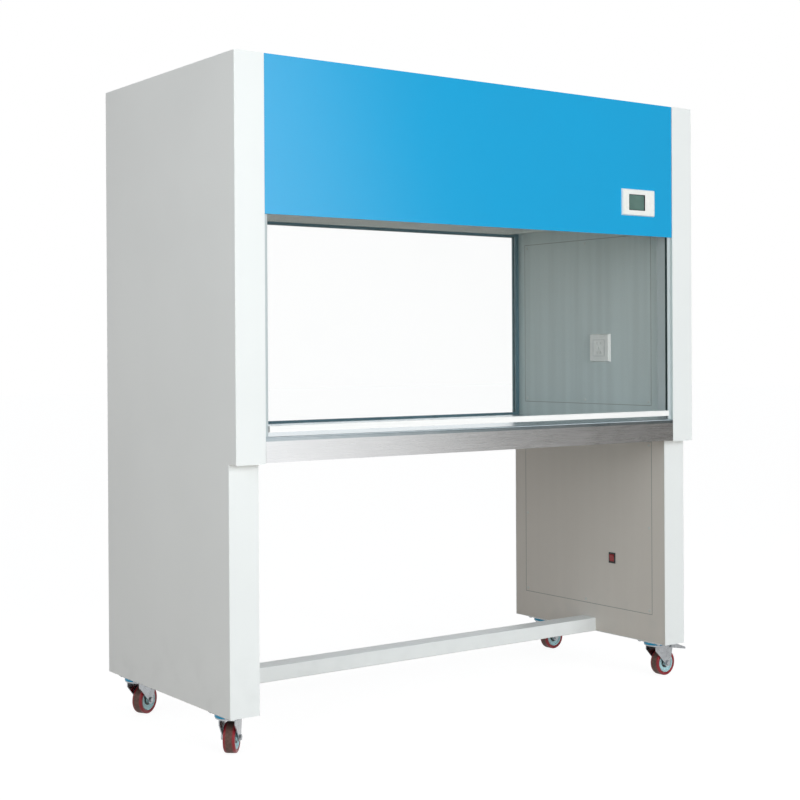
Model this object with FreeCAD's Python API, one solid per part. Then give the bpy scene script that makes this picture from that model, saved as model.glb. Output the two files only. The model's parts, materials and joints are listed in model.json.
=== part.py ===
import FreeCAD, Part
import math
import os

# Vertical laminar flow cabinet. Millimetres, X to the right, Y to the back, Z up.
# The origin is on the floor, in the middle between the outer faces of the two side walls.

V = FreeCAD.Vector
ORIGIN = V(0, 0, 0)
X_AXIS = V(1, 0, 0)
Y_AXIS = V(0, 1, 0)
Z_AXIS = V(0, 0, 1)

# Overall sizes
width = 1520.0
depth = 700.0
body_height = 1560.0
side_wall = 80.0
leg_setback = 35.0
caster_height = 106.0

# Sheet work
sheet = 1.5
bend = 2.5
lip = 18.0
seam = 1.0
fit_gap = 0.5
body_gap = 0.5
seat_gap = 0.3
running_gap = 0.05
hole_play = 0.1
strap_below = 5.0
strap_above = 22.0
ledge = 12.0

# Worktop
worktop_height = 766.0
apron_height = 61.0
edge_rise = 7.0
edge_width = 10.0
edge_radius = 4.5
apron_return = 15.0
step_drop = 3.0
rail_size = 40.0
rail_wall = 2.0
rail_inset = 40.0

# Hood
hood_height = 376.5
hood_room = 320.0
front_inset = 2.0
slot_length = 150.0
slot_width = 12.0
slot_pitch = 27.0
slot_count = 12
slot_rows = 2
slot_row_gap = 16.0

# Access panels in the right liner
panel_front_inset = 86.0
panel_rear_inset = 50.0
chamber_panel_rise = 43.0
chamber_panel_drop = 39.0
leg_panel_rise = 82.0
leg_panel_drop = 7.0

# Foot crossbar
bar_depth = 60.0
bar_height = 40.0
bar_wall = 2.0
bar_centre = 6.0

# Rear glazing
rear_glass_thickness = 5.0
frame_depth = 18.0
frame_top = 12.0
frame_bottom = 7.0
frame_side = 14.0
glass_bite = 4.0
glass_play = 0.2

# Sash
sash_thickness = 5.0
runner_wall = 1.5
slide_gap = 0.5
groove_inset = 10.0
guide_depth = 12.0
guide_web = 2.0
guide_front_wall = 1.2
guide_back = 31.0
guide_wall = 2.5
sash_gap = 10.0
sash_overlap = 14.5
glass_lift = 3.0
handle_height = 15.0
handle_grip = 8.5
handle_back = 4.0
handle_wall = 2.0
lug_height = 4.0
lug_width = 5.0
lug_depth = 6.0
wire_radius = 1.0
wire_sides = 8

# Sash balance
pulley_pitch_radius = 20.0
pulley_flange_radius = 23.0
pulley_width = 8.0
pulley_axle_radius = 4.0
pulley_rim = 1.5
weight_x = 56.0
weight_y = 22.0
weight_length = 512.0
weight_drop = 40.0
weight_bevel = 3.0
bracket_plate = 3.0
bracket_reach = 28.0
bracket_half = 14.0
axle_head = 1.5
axle_play = 1.0
notch_room = 3.0

# Air handling
filter_side = 40.0
filter_front = 115.0
filter_rear = 20.0
filter_height = 69.0
filter_wall = 18.0
filter_sheet = 1.5
pleat_count = 34
pleat_rise = 8.0
pleat_gap = 4.0
diffuser_height = 4.0
diffuser_border = 20.0
plenum_height = 146.0
opening_border = 12.0
ceiling_reach = 25.0
fan_offset = 320.0
inlet_radius = 84.0
inlet_flange = 14.0
inlet_sheet = 2.0
throat_radius = 78.0
bell_radius = 8.0
bell_depth = 12.0
bell_steps = 2
eye_gap = 6.0
eye_collar = 8.0
impeller_radius = 120.0
blade_inner_radius = 72.0
blade_sweep = 42.0
blade_bow = 4.0
blade_bias = 0.42
blade_sheet = 2.0
blade_count = 7
blade_low = 46.0
blade_high = 60.0
impeller_drop = 92.0
rotor_radius = 48.0
rotor_height = 26.0
shaft_radius = 12.0
motor_gap = 2.0
motor_base = 4.0
spider_radius = 145.0
spider_rod = 5.0
spider_bar = 36.0
spider_sheet = 3.0
prefilter_height = 22.0
prefilter_margin = 20.0
control_width = 140.0
control_depth = 120.0
control_height = 55.0

# Lamps
tube_radius = 8.0
light_margin = 105.0
uv_margin = 250.0
lamp_drop = 22.0
lamp_front = 50.0
lamp_spacing = 38.0
batten_height = 6.0
batten_margin = 16.0
holder_width = 14.0
holder_height = 24.0

# Display in the hood front, placed from the right liner and the hood's lower edge
display_from_side = 136.5
display_above_hood = 93.0
display_width = 127.0
display_height = 75.0
display_proud = 5.0
display_body_inset = 6.0
display_body_depth = 4.5
screen_offset = -7.2
screen_width = 63.0
screen_height = 45.0
screen_sink = 3.0
screen_sheet = 1.5
display_bevel = 2.0

# Wall socket, placed from the cabinet's front and the worktop's surface
socket_from_front = 297.0
socket_above_top = 214.0
socket_size = 86.0
socket_proud = 9.0
socket_bevel = 4.0
socket_body = 70.0
socket_body_depth = 32.0
module_width = 48.0
module_height = 52.0
module_proud = 1.2
slot_depth = 5.0
pin_slot_width = 2.6
pin_slot_length = 7.5
pin_spread = 7.0
pin_pitch = 14.0
pin_tilt = 30.0

# Rocker switch, placed from the cabinet's front and the leg's lower end
switch_from_front = 252.0
switch_above_base = 232.0
switch_width = 26.0
switch_height = 32.0
switch_flange = 2.5
switch_body_width = 22.0
switch_body_height = 27.6
switch_body_depth = 24.0
rocker_width = 18.4
rocker_radius = 11.6
rocker_angle = 8.0
rocker_pivot_depth = 3.0
rocker_pin = 1.5
rocker_pin_length = 0.9

# Supply gland
gland_above_base = 200.0
gland_thread = 10.0
gland_nut = 14.0
gland_nut_height = 6.0
gland_dome = 12.0
gland_mouth = 5.0
gland_mouth_depth = 2.5

# Casters
wheel_radius = 37.5
wheel_width = 30.0
hub_width = 33.0
rim_radius = 28.0
trail = 30.0
front_caster_inset = 78.0
rear_caster_inset = 94.0
plate_x = 70.0
plate_y = 92.0
plate_sheet = 3.0
plate_corner = 6.0
race_radius = 29.0
race_height = 7.5
seal_width = 5.0
kingpin_radius = 6.0
kingpin_nut = 10.0
kingpin_nut_height = 3.2
fork_sheet = 2.5
crown_sheet = 3.0
crown_front = 20.0
crown_rear = 22.0
crown_rim = 4.0
cheek_back = 6.0
cheek_skirt = 14.0
cheek_front_skirt = 17.0
cheek_eye = 11.0
fork_gap = 1.7
hub_boss = 10.0
rim_sheet = 4.0
web_dish = 4.0
rim_sink = 1.0
tread_radius = 3.0
bolt_radius = 4.0
bolt_head = 7.0
bolt_head_height = 4.0
nut_height = 5.0
pedal_pin = 3.0
pedal_bolt_head = 2.0
pedal_bolt_rim = 2.5
pedal_sheet = 2.0
pedal_gap = 0.5
pedal_pivot_back = 16.0
pedal_pivot_drop = 4.0
pedal_length = 60.0
pedal_fall = 12.0
pedal_clear = 2.0
pedal_rise = 5.0
pedal_eye = 6.0
shoe_lift = 4.0
shoe_angle = 54.8
shoe_width = 20.0
shoe_sheet = 4.0
shoe_rise = 1.4
shoe_foot = 4.0

# How far each caster is turned at rest, in degrees
headings = {
    "front_left": 48.0,
    "front_right": 2.0,
    "rear_left": 28.0,
    "rear_right": 3.0,
}

# Places worked out from the sizes above
x_out = width / 2
x_in = x_out - side_wall
x_lip = x_in + 2 * sheet
x_span = x_in - fit_gap
y_front = -depth / 2
y_rear = depth / 2
y_leg = y_front + leg_setback
z_base = caster_height
z_top = caster_height + body_height
z_apron = worktop_height - apron_height
z_step = z_apron - step_drop
z_surface = worktop_height - edge_rise
z_hood = z_top - hood_height
z_ceiling = z_top - hood_room
y_panel = y_front + front_inset
y_back_skin = y_rear - front_inset - sheet

runner_thickness = sash_thickness + 2 * runner_wall
y_groove = y_front + groove_inset
y_groove_back = y_groove + runner_thickness + 2 * slide_gap
y_sash = (y_groove + y_groove_back) / 2
y_guide_back = y_groove_back + guide_back
x_guide = x_in - guide_depth
x_runner_out = x_in - guide_web - 2 * slide_gap
x_runner_in = x_guide + slide_gap
x_wire = (x_runner_out + x_runner_in) / 2
x_glass = x_runner_out - runner_wall
z_handle = worktop_height + sash_gap
z_glass = z_handle + glass_lift
z_sash_top = z_hood + sash_overlap
z_lug = z_sash_top + lug_height
x_pulley = x_wire + pulley_pitch_radius
x_weight = x_pulley + pulley_pitch_radius
z_pulley = z_top - sheet - axle_play - pulley_flange_radius
z_guide_top = z_pulley - pulley_flange_radius - notch_room
z_weight = z_pulley - weight_drop
y_panel_back = y_groove - guide_front_wall - seat_gap

filter_half_length = x_in - filter_side
y_filter_front = y_front + filter_front
y_filter_rear = y_rear - filter_rear
z_filter = z_ceiling + sheet
z_plenum = z_filter + filter_height
z_deck = z_plenum + plenum_height
y_fan = (y_filter_front + y_filter_rear) / 2
z_impeller = z_deck - impeller_drop
y_lamp = y_front + lamp_front
light_length = 2 * (x_in - light_margin)
uv_length = 2 * (x_in - uv_margin)
z_lamp = z_ceiling - lamp_drop

y_access_front = y_front + panel_front_inset
y_access_rear = y_rear - panel_rear_inset
z_strap_low = z_step + sheet - strap_below
z_strap_high = z_step + sheet + strap_above
chamber_panel_low = z_surface + chamber_panel_rise
chamber_panel_high = z_ceiling - chamber_panel_drop
leg_panel_low = z_base + leg_panel_rise
leg_panel_high = z_step + sheet - leg_panel_drop
display_x = x_in - display_from_side
display_z = z_hood + display_above_hood
socket_y = y_front + socket_from_front
socket_z = z_surface + socket_above_top
switch_y = y_front + switch_from_front
switch_z = z_base + switch_above_base
gland_z = z_base + gland_above_base
y_front_caster = y_leg + front_caster_inset
y_rear_caster = y_rear - rear_caster_inset
x_caster = (x_in + x_out) / 2
impeller_eye = throat_radius + eye_gap

plate_low = caster_height - plate_sheet
race_low = plate_low - race_height
crown_top = race_low - seat_gap
crown_low = crown_top - crown_sheet
fork_inner = hub_width / 2 + fork_gap
fork_outer = fork_inner + fork_sheet
pedal_pivot_x = trail + pedal_pivot_back
pedal_pivot_z = crown_low - pedal_pivot_drop


def box(x0, x1, y0, y1, z0, z1):
    """Block between two corners, given as low and high along each axis."""
    return Part.makeBox(x1 - x0, y1 - y0, z1 - z0, V(x0, y0, z0))


def cylinder(radius, start, length, along):
    """Round bar from a point, along a direction."""
    return Part.makeCylinder(radius, length, start, along)


def polygon(points):
    """Closed wire with straight edges through the points."""
    return Part.makePolygon(points + [points[0]])


def across(outline, x0, x1):
    """Outline in (y, z), carried along X."""
    return Part.Face(polygon([V(x0, y, z) for y, z in outline])).extrude(V(x1 - x0, 0, 0))


def front_to_back(outline, y0, y1):
    """Outline in (x, z), carried along Y."""
    return Part.Face(polygon([V(x, y0, z) for x, z in outline])).extrude(V(0, y1 - y0, 0))


def turned(outline, axis):
    """Outline in (radius, height), turned about an axis through the origin."""
    if axis == "Z":
        return Part.Face(polygon([V(r, 0, h) for r, h in outline])).revolve(ORIGIN, Z_AXIS, 360)
    return Part.Face(polygon([V(r, h, 0) for r, h in outline])).revolve(ORIGIN, Y_AXIS, 360)


def hexagon(radius, x, z):
    """Corners of a hexagon about a point in (x, z)."""
    angles = [math.radians(60 * i) for i in range(6)]
    return [(x + radius * math.cos(a), z + radius * math.sin(a)) for a in angles]


def mirrored(shape):
    """The same piece on the other side of the cabinet."""
    return shape.mirror(ORIGIN, X_AXIS)


def near(a, b):
    """Whether two places are the same."""
    return abs(a - b) < 0.01


def rounded(shape, radius, wanted, along=None):
    """Fillet on the straight edges whose two ends pass the test, along one direction if it is given."""
    edges = []
    for edge in shape.Edges:
        if not isinstance(edge.Curve, Part.Line) or not all(wanted(v.Point) for v in edge.Vertexes):
            continue
        if along is None or near(abs(edge.Curve.Direction.dot(along)), 1.0):
            edges.append(edge)
    return shape.makeFillet(radius, edges)


def fused(pieces):
    """One solid from pieces that meet."""
    return pieces[0].multiFuse(pieces[1:]).removeSplitter()


def save(name, *pieces):
    """Write one node, as one solid or a group of separate solids."""
    shape = pieces[0] if len(pieces) == 1 else Part.makeCompound(list(pieces))
    shape.exportStep("parts/" + name + ".step")


# Side walls

def wall_outline(inset):
    """Stepped outline of a side wall in (y, z), drawn in by an inset."""
    return [
        (y_leg + inset, z_base + inset),
        (y_rear - inset, z_base + inset),
        (y_rear - inset, z_top - inset),
        (y_front + inset, z_top - inset),
        (y_front + inset, z_step + inset),
        (y_leg + inset, z_step + inset),
    ]


def pulley_notch():
    """Room that a pulley needs through the liner and lip of the right wall."""
    reach = pulley_width / 2 + axle_head + notch_room
    return box(x_in - 1.0, x_lip, y_sash - reach, y_sash + reach, z_guide_top, z_top - sheet)


def side_shell():
    """Right wall shell: outer skin with its edges folded in and a lip that carries the liner."""
    solid = across(wall_outline(0.0), x_in, x_out)
    solid = rounded(solid, bend, lambda p: near(p.x, x_out))
    hollow = across(wall_outline(sheet), x_lip, x_out - sheet)
    seat = across(wall_outline(sheet), x_in - 1.0, x_in + sheet)
    edge = sheet + lip
    upper = box(x_in, x_lip, y_front + edge, y_rear - edge, z_strap_high, z_top - edge)
    lower = box(x_in, x_lip, y_leg + edge, y_rear - edge, z_base + edge, z_strap_low)
    return solid.cut([hollow, seat, upper, lower, pulley_notch()])


def liner_blank():
    """Stepped inner sheet of the right wall, flush with the shell's edge."""
    return across(wall_outline(sheet + fit_gap), x_in, x_in + sheet).cut(pulley_notch())


def access_opening(low, high, grow):
    """Block through the right liner at an access opening, grown by a margin."""
    y0 = y_access_front - grow
    y1 = y_access_rear + grow
    return box(x_in - 1.0, x_lip + 1.0, y0, y1, low - grow, high + grow)


def panel_ledge(low, high):
    """Joggled frame behind an access opening, on which the panel sits."""
    y0 = y_access_front - sheet
    y1 = y_access_rear + sheet
    outer = box(x_in + sheet, x_lip, y0, y1, low - sheet, high + sheet)
    return outer.cut(access_opening(low, high, -ledge))


def right_liner():
    """Inner sheet of the right wall with its two access openings."""
    skin = liner_blank()
    for low, high in ((chamber_panel_low, chamber_panel_high), (leg_panel_low, leg_panel_high)):
        skin = skin.cut(access_opening(low, high, 0.0)).fuse(panel_ledge(low, high))
    return skin.removeSplitter()


def access_panel(low, high, hole):
    """Removable panel, flush in its opening with a seam all round and a hole for its fitting."""
    y0 = y_access_front + seam
    y1 = y_access_rear - seam
    return box(x_in, x_in + sheet, y0, y1, low + seam, high - seam).cut(hole)


def fitting_hole(y, z, body_width, body_height):
    """Cut-out for the body of a socket or switch in the right liner."""
    half_y = body_width / 2 + body_gap
    half_z = body_height / 2 + body_gap
    return box(x_in - 1.0, x_lip + 1.0, y - half_y, y + half_y, z - half_z, z + half_z)


def make_walls():
    """Both walls with their liners and the right wall's access panels."""
    shell = side_shell()
    gland_hole = cylinder(gland_thread + running_gap, V(x_caster, y_rear - lip, gland_z), 2 * lip, Y_AXIS)
    save("left_side_shell", mirrored(shell))
    save("right_side_shell", shell.cut(gland_hole))
    save("left_inner_liner", mirrored(liner_blank()))
    save("right_inner_liner", right_liner())
    socket_hole = fitting_hole(socket_y, socket_z, socket_body, socket_body)
    save("chamber_access_panel", access_panel(chamber_panel_low, chamber_panel_high, socket_hole))
    switch_hole = fitting_hole(switch_y, switch_z, switch_body_width, switch_body_height)
    save("leg_access_panel", access_panel(leg_panel_low, leg_panel_high, switch_hole))


# Crossbar between the legs

def foot_crossbar():
    """Rectangular tube from leg to leg, level with their undersides."""
    y0 = bar_centre - bar_depth / 2
    y1 = bar_centre + bar_depth / 2
    z1 = z_base + bar_height
    outside = rounded(box(-x_in, x_in, y0, y1, z_base, z1), bend, lambda p: True, X_AXIS)
    return outside.cut(box(-x_in, x_in, y0 + bar_wall, y1 - bar_wall, z_base + bar_wall, z1 - bar_wall))


# Worktop

def worktop():
    """Stainless tray folded from one sheet: apron, raised front edge, surface and rear fold."""
    t = sheet
    y_edge = y_front + edge_width
    y_back = y_rear - front_inset
    outline = [
        (y_front, z_apron),
        (y_front + apron_return, z_apron),
        (y_front + apron_return, z_apron + t),
        (y_front + t, z_apron + t),
        (y_front + t, worktop_height - t),
        (y_edge - t, worktop_height - t),
        (y_edge - t, z_surface - t),
        (y_back - t, z_surface - t),
        (y_back - t, z_apron),
        (y_back, z_apron),
        (y_back, z_surface),
        (y_edge, z_surface),
        (y_edge, worktop_height),
        (y_front, worktop_height),
    ]
    tray = across(outline, -x_span, x_span)
    tray = rounded(tray, edge_radius, lambda p: near(p.z, worktop_height), X_AXIS)
    return rounded(tray, edge_radius - t, lambda p: near(p.z, worktop_height - t), X_AXIS)


def tube(x0, x1, y0, y1, along):
    """Square tube of the worktop's frame, open at its ends along X or Y."""
    z1 = z_surface - sheet
    z0 = z1 - rail_size
    w = rail_wall
    outside = box(x0, x1, y0, y1, z0, z1)
    if along == "X":
        return outside.cut(box(x0, x1, y0 + w, y1 - w, z0 + w, z1 - w))
    return outside.cut(box(x0 + w, x1 - w, y0, y1, z0 + w, z1 - w))


def worktop_frame():
    """Welded frame under the tray: two long tubes and three between them."""
    front = y_front + rail_inset
    back = y_rear - rail_inset
    pieces = [
        tube(-x_span, x_span, front, front + rail_size, "X"),
        tube(-x_span, x_span, back - rail_size, back, "X"),
    ]
    for x in (-x_in / 2, 0.0, x_in / 2):
        x0 = x - rail_size / 2
        pieces.append(tube(x0, x0 + rail_size, front + rail_size, back - rail_size, "Y"))
    return fused(pieces)


# Hood skins

def front_panel():
    """Front of the hood: a pan folded back on all sides, cut out for the display."""
    t = sheet
    folds = box(-x_span, x_span, y_panel, y_panel_back, z_hood, z_top - t)
    top_fold = box(-x_span, x_span, y_panel, y_panel + lip, z_top - 2 * t, z_top - t)
    face = box(-x_span, x_span, y_panel, y_panel + t, z_hood, z_top)
    inside = box(-x_span + t, x_span - t, y_panel + t, y_panel_back, z_hood + t, z_top - 2 * t)
    half_x = display_width / 2 - display_body_inset + body_gap
    half_z = display_height / 2 - display_body_inset + body_gap
    window = box(
        display_x - half_x, display_x + half_x, y_panel - 1.0, y_panel + 2 * t,
        display_z - half_z, display_z + half_z,
    )
    pan = folds.fuse([face, top_fold]).cut([inside, window]).removeSplitter()
    return rounded(pan, bend / 2, lambda p: near(p.y, y_panel) and near(p.z, z_hood))


def intake_slots(x_centre):
    """Rows of slots over one prefilter."""
    slots = []
    row_step = slot_length + slot_row_gap
    for row in range(slot_rows):
        y0 = y_fan + (row - slot_rows / 2) * row_step + slot_row_gap / 2
        for i in range(slot_count):
            x0 = x_centre + (i - (slot_count - 1) / 2) * slot_pitch - slot_width / 2
            slots.append(box(x0, x0 + slot_width, y0, y0 + slot_length, z_top - 2 * sheet, z_top + sheet))
    return slots


def hood_top_cover():
    """Top sheet of the hood with slots for the room air."""
    cover = box(-x_span, x_span, y_panel + sheet, y_rear - fit_gap, z_top - sheet, z_top)
    return cover.cut(intake_slots(-fan_offset) + intake_slots(fan_offset))


def hood_rear_panel():
    """Rear sheet of the hood, from the ceiling to the top cover."""
    skin = box(-x_span, x_span, y_back_skin, y_back_skin + sheet, z_ceiling, z_top - sheet)
    fold = box(-x_span, x_span, y_back_skin - lip, y_back_skin, z_top - 2 * sheet, z_top - sheet)
    return fused([skin, fold])


def guide_notch(side):
    """Corner cut from the ceiling around a sash guide."""
    inner = x_guide - fit_gap
    low = min(side * inner, side * x_in)
    high = max(side * inner, side * x_in)
    return box(low, high, y_front, y_guide_back + fit_gap, z_ceiling - sheet, z_ceiling + rail_size + sheet)


def ceiling_panel():
    """Ceiling sheet with the filter opening and a fold up at each long edge."""
    y0 = y_guide_back - ceiling_reach
    z_fold = z_ceiling + rail_size
    skin = box(-x_span, x_span, y0, y_back_skin, z_ceiling, z_ceiling + sheet)
    front_fold = box(-x_span, x_span, y0, y0 + sheet, z_ceiling, z_fold)
    rear_fold = box(-x_span, x_span, y_back_skin - sheet, y_back_skin, z_ceiling, z_fold)
    half = filter_half_length - opening_border
    opening = box(
        -half, half, y_filter_front + opening_border, y_filter_rear - opening_border,
        z_ceiling - sheet, z_ceiling + 2 * sheet,
    )
    return fused([skin, front_fold, rear_fold]).cut([opening, guide_notch(-1), guide_notch(1)])


# Rear glazing

def glass_pane(play):
    """Pane of the rear glass, grown by a play for the groove that holds it."""
    x1 = x_span - frame_side + glass_bite + play
    y_centre = y_rear - front_inset - frame_depth / 2
    half = rear_glass_thickness / 2 + play
    z0 = z_surface + frame_bottom - glass_bite - play
    z1 = z_ceiling - frame_top + glass_bite + play
    return box(-x1, x1, y_centre - half, y_centre + half, z0, z1)


def rear_glass_frame():
    """Thin frame around the rear glass, grooved for it."""
    y1 = y_rear - front_inset
    y0 = y1 - frame_depth
    x1 = x_span - frame_side
    outside = box(-x_span, x_span, y0, y1, z_surface, z_ceiling)
    inside = box(-x1, x1, y0, y1, z_surface + frame_bottom, z_ceiling - frame_top)
    return outside.cut([inside, glass_pane(glass_play)])


# Sash

def sash_guide():
    """Extruded guide on the right wall: groove for the runner and a hollow strip behind it."""
    low = worktop_height + fit_gap
    y0 = y_groove - guide_front_wall
    w = guide_wall
    block = box(x_guide, x_in, y0, y_guide_back, low, z_guide_top)
    groove = box(x_guide - 1.0, x_in - guide_web, y_groove, y_groove_back, low, z_guide_top)
    strip = box(x_guide + w, x_in - w, y_groove_back + w, y_guide_back - w, low, z_guide_top)
    return block.cut([groove, strip])


def sash_runner():
    """Edge runner of the right side of the sash, with the lug that the wire hooks into."""
    half = runner_thickness / 2
    glass = sash_thickness / 2
    body = box(x_runner_in, x_runner_out, y_sash - half, y_sash + half, z_handle, z_sash_top)
    slot = box(x_runner_in - 1.0, x_glass, y_sash - glass, y_sash + glass, z_glass, z_sash_top)
    y0 = y_sash - lug_depth / 2
    y1 = y_sash + lug_depth / 2
    lug = box(x_wire - lug_width / 2, x_wire + lug_width / 2, y0, y1, z_sash_top, z_lug)
    foot = box(x_wire - lug_width / 2, x_runner_out, y0, y1, z_sash_top, z_sash_top + lug_height / 2)
    return fused([body.cut(slot), foot, lug])


def sash_glass():
    """Glass pane of the sash."""
    half = sash_thickness / 2
    return box(-x_glass, x_glass, y_sash - half, y_sash + half, z_glass, z_sash_top)


def sash_handle():
    """Extruded rail that grips the lower edge of the glass, with a hollow finger grip in front."""
    half = sash_thickness / 2
    y0 = y_sash - half - handle_grip
    y1 = y_sash + half + handle_back
    t = handle_wall
    x1 = x_guide - 2 * slide_gap
    z1 = z_handle + handle_height
    rail = box(-x1, x1, y0, y1, z_handle, z1)
    groove = box(-x1, x1, y_sash - half, y_sash + half, z_glass, z1)
    recess = box(-x1, x1, y0 + t, y_sash - half - t, z_handle, z1 - t)
    return rounded(rail.cut([groove, recess]), t / 2, lambda p: near(p.y, y0) and near(p.z, z1))


def pulley():
    """Grooved pulley on the right side's axle."""
    half = pulley_width / 2
    bore = pulley_axle_radius + running_gap
    floor = pulley_pitch_radius - wire_radius - seat_gap
    groove = wire_radius + seat_gap
    wheel = turned([
        (bore, -half), (pulley_flange_radius, -half), (pulley_flange_radius, -half + pulley_rim),
        (floor, -groove), (floor, groove),
        (pulley_flange_radius, half - pulley_rim), (pulley_flange_radius, half), (bore, half),
    ], "Y")
    return wheel.translated(V(x_pulley, y_sash, z_pulley))


def pulley_bracket():
    """Bracket under the top of the right wall, with the pulley's axle and its head."""
    y0 = y_sash + pulley_width / 2 + axle_play
    x0 = x_lip + axle_play
    x1 = x_pulley + bracket_half
    top = z_top - sheet
    plate = box(x0, x1, y0, y0 + bracket_plate, z_pulley - bracket_half, top)
    fold = box(x0, x1, y0, y0 + bracket_reach, top - bracket_plate, top)
    start = y_sash - pulley_width / 2 - axle_play
    axle = cylinder(pulley_axle_radius, V(x_pulley, start, z_pulley), y0 - start, Y_AXIS)
    head_start = V(x_pulley, start - axle_head, z_pulley)
    head = cylinder(pulley_axle_radius + axle_head, head_start, axle_head, Y_AXIS)
    return fused([plate, fold, axle, head])


def sash_wire():
    """Wire of the right side: from the sash over the pulley down to the counterweight."""
    def section(x, z):
        """Eight-sided section of the wire, level, about a point."""
        corners = []
        for i in range(wire_sides):
            angle = math.radians((i + 0.5) * 360.0 / wire_sides)
            corners.append(V(x + wire_radius * math.cos(angle), y_sash + wire_radius * math.sin(angle), z))
        return Part.Face(polygon(corners))

    rise = section(x_wire, z_lug).extrude(V(0, 0, z_pulley - z_lug))
    fall = section(x_weight, z_weight).extrude(V(0, 0, z_pulley - z_weight))
    half_turn = section(x_wire, z_pulley).revolve(V(x_pulley, y_sash, z_pulley), Y_AXIS, 180)
    return fused([rise, half_turn, fall])


def counterweight():
    """Flat cast bar with bevelled ends that hangs in the right wall."""
    x0 = x_weight - weight_x / 2
    x1 = x_weight + weight_x / 2
    z0 = z_weight - weight_length
    b = weight_bevel
    outline = [
        (x0 + b, z0), (x1 - b, z0), (x1, z0 + b), (x1, z_weight - b),
        (x1 - b, z_weight), (x0 + b, z_weight), (x0, z_weight - b), (x0, z0 + b),
    ]
    return front_to_back(outline, y_sash - weight_y / 2, y_sash + weight_y / 2)


def make_sash():
    """Sash, its guides and its balance on both sides."""
    save("sash_glass", sash_glass())
    save("sash_handle", sash_handle())
    pairs = {
        "sash_guides": sash_guide(),
        "sash_runners": sash_runner(),
        "pulley_brackets": pulley_bracket(),
        "sash_wires": sash_wire(),
    }
    for name, piece in pairs.items():
        save(name, mirrored(piece), piece)
    for name, piece in (("pulley", pulley()), ("counterweight", counterweight())):
        save("left_" + name, mirrored(piece))
        save("right_" + name, piece)


# Air handling

def filter_block(inset, z0, z1):
    """Block over the filter's whole plan, drawn in by an inset."""
    half = filter_half_length - inset
    return box(-half, half, y_filter_front + inset, y_filter_rear - inset, z0, z1)


def hepa_frame():
    """Channel-section frame of the main filter, open towards the pleats."""
    t = filter_sheet
    outside = filter_block(0.0, z_filter, z_plenum)
    opening = filter_block(filter_wall, z_filter, z_plenum)
    channel = filter_block(t, z_filter + t, z_plenum - t)
    return outside.cut([opening, channel])


def hepa_pleats():
    """Pleated filter paper, one folded sheet across the frame."""
    half = filter_half_length - filter_sheet
    low = z_filter + pleat_gap
    high = z_plenum - pleat_gap - pleat_rise
    folds = 2 * pleat_count
    line = [(-half + 2 * half * i / folds, high if i % 2 else low) for i in range(folds + 1)]
    outline = line + [(x, z + pleat_rise) for x, z in reversed(line)]
    return front_to_back(outline, y_filter_front + filter_sheet, y_filter_rear - filter_sheet)


def diffuser_screen():
    """Screen under the filter: a flat frame with a fine membrane at mid-height."""
    z0 = z_ceiling - diffuser_height
    below = filter_block(diffuser_border, z0, z_ceiling - diffuser_height / 2)
    above = filter_block(diffuser_border, z_ceiling - diffuser_height / 4, z_ceiling)
    return filter_block(0.0, z0, z_ceiling).cut([below, above])


def plenum_box():
    """Pressure box over the filter: a flange below and a round inlet for each fan above."""
    t = sheet
    outside = filter_block(0.0, z_plenum, z_deck)
    inside = filter_block(t, z_plenum + t, z_deck - t)
    mouth = filter_block(lip, z_plenum - t, z_plenum + 2 * t)
    cuts = [inside, mouth]
    for x in (-fan_offset, fan_offset):
        cuts.append(cylinder(inlet_radius, V(x, y_fan, z_deck - 2 * t), 3 * t, Z_AXIS))
    return outside.cut(cuts)


def inlet_nozzle():
    """Bell-mouthed inlet, its flange on the deck at height nought and its throat in the fan's eye."""
    t = inlet_sheet
    drop = impeller_drop - blade_high - eye_collar / 2
    flange = inlet_radius + inlet_flange
    mouth = throat_radius - t + bell_radius
    steps = [math.radians(90.0 * i / bell_steps) for i in range(bell_steps + 1)]
    inside = [(mouth - bell_radius * math.sin(a), t - bell_depth * (1 - math.cos(a))) for a in steps]
    throat = [(throat_radius - t, -drop), (throat_radius, -drop), (throat_radius, t - bell_depth)]
    return turned([(flange, 0), (flange, t)] + inside + throat + [(mouth, 0)], "Z")


def blade():
    """One backward-curved blade on the back plate, its top sloped to seat in the shroud."""
    sweep = math.radians(blade_sweep)
    tip = impeller_radius - blade_sheet
    middle = (blade_inner_radius + tip) / 2 + blade_bow
    start = V(blade_inner_radius, 0, 0)
    end = V(tip * math.cos(sweep), -tip * math.sin(sweep), 0)
    half_way = V(middle * math.cos(sweep * blade_bias), -middle * math.sin(sweep * blade_bias), 0)
    circle = Part.Arc(start, half_way, end).toShape().Curve

    def offset(point, distance):
        return point + (point - circle.Center).normalize() * distance

    h = blade_sheet / 2
    a, b, c = [offset(p, -h) for p in (start, half_way, end)]
    d, e, f = [offset(p, h) for p in (start, half_way, end)]
    outline = [
        Part.Arc(a, b, c).toShape(), Part.makeLine(c, f),
        Part.Arc(f, e, d).toShape(), Part.makeLine(d, a),
    ]
    top = blade_high + eye_collar
    standing = Part.Face(Part.Wire(outline)).extrude(V(0, 0, top))
    above = turned([
        (0, top), (0, blade_high + h), (impeller_eye, blade_high + h),
        (impeller_radius, blade_low + h), (impeller_radius, top),
    ], "Z")
    return standing.cut(above)


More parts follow.
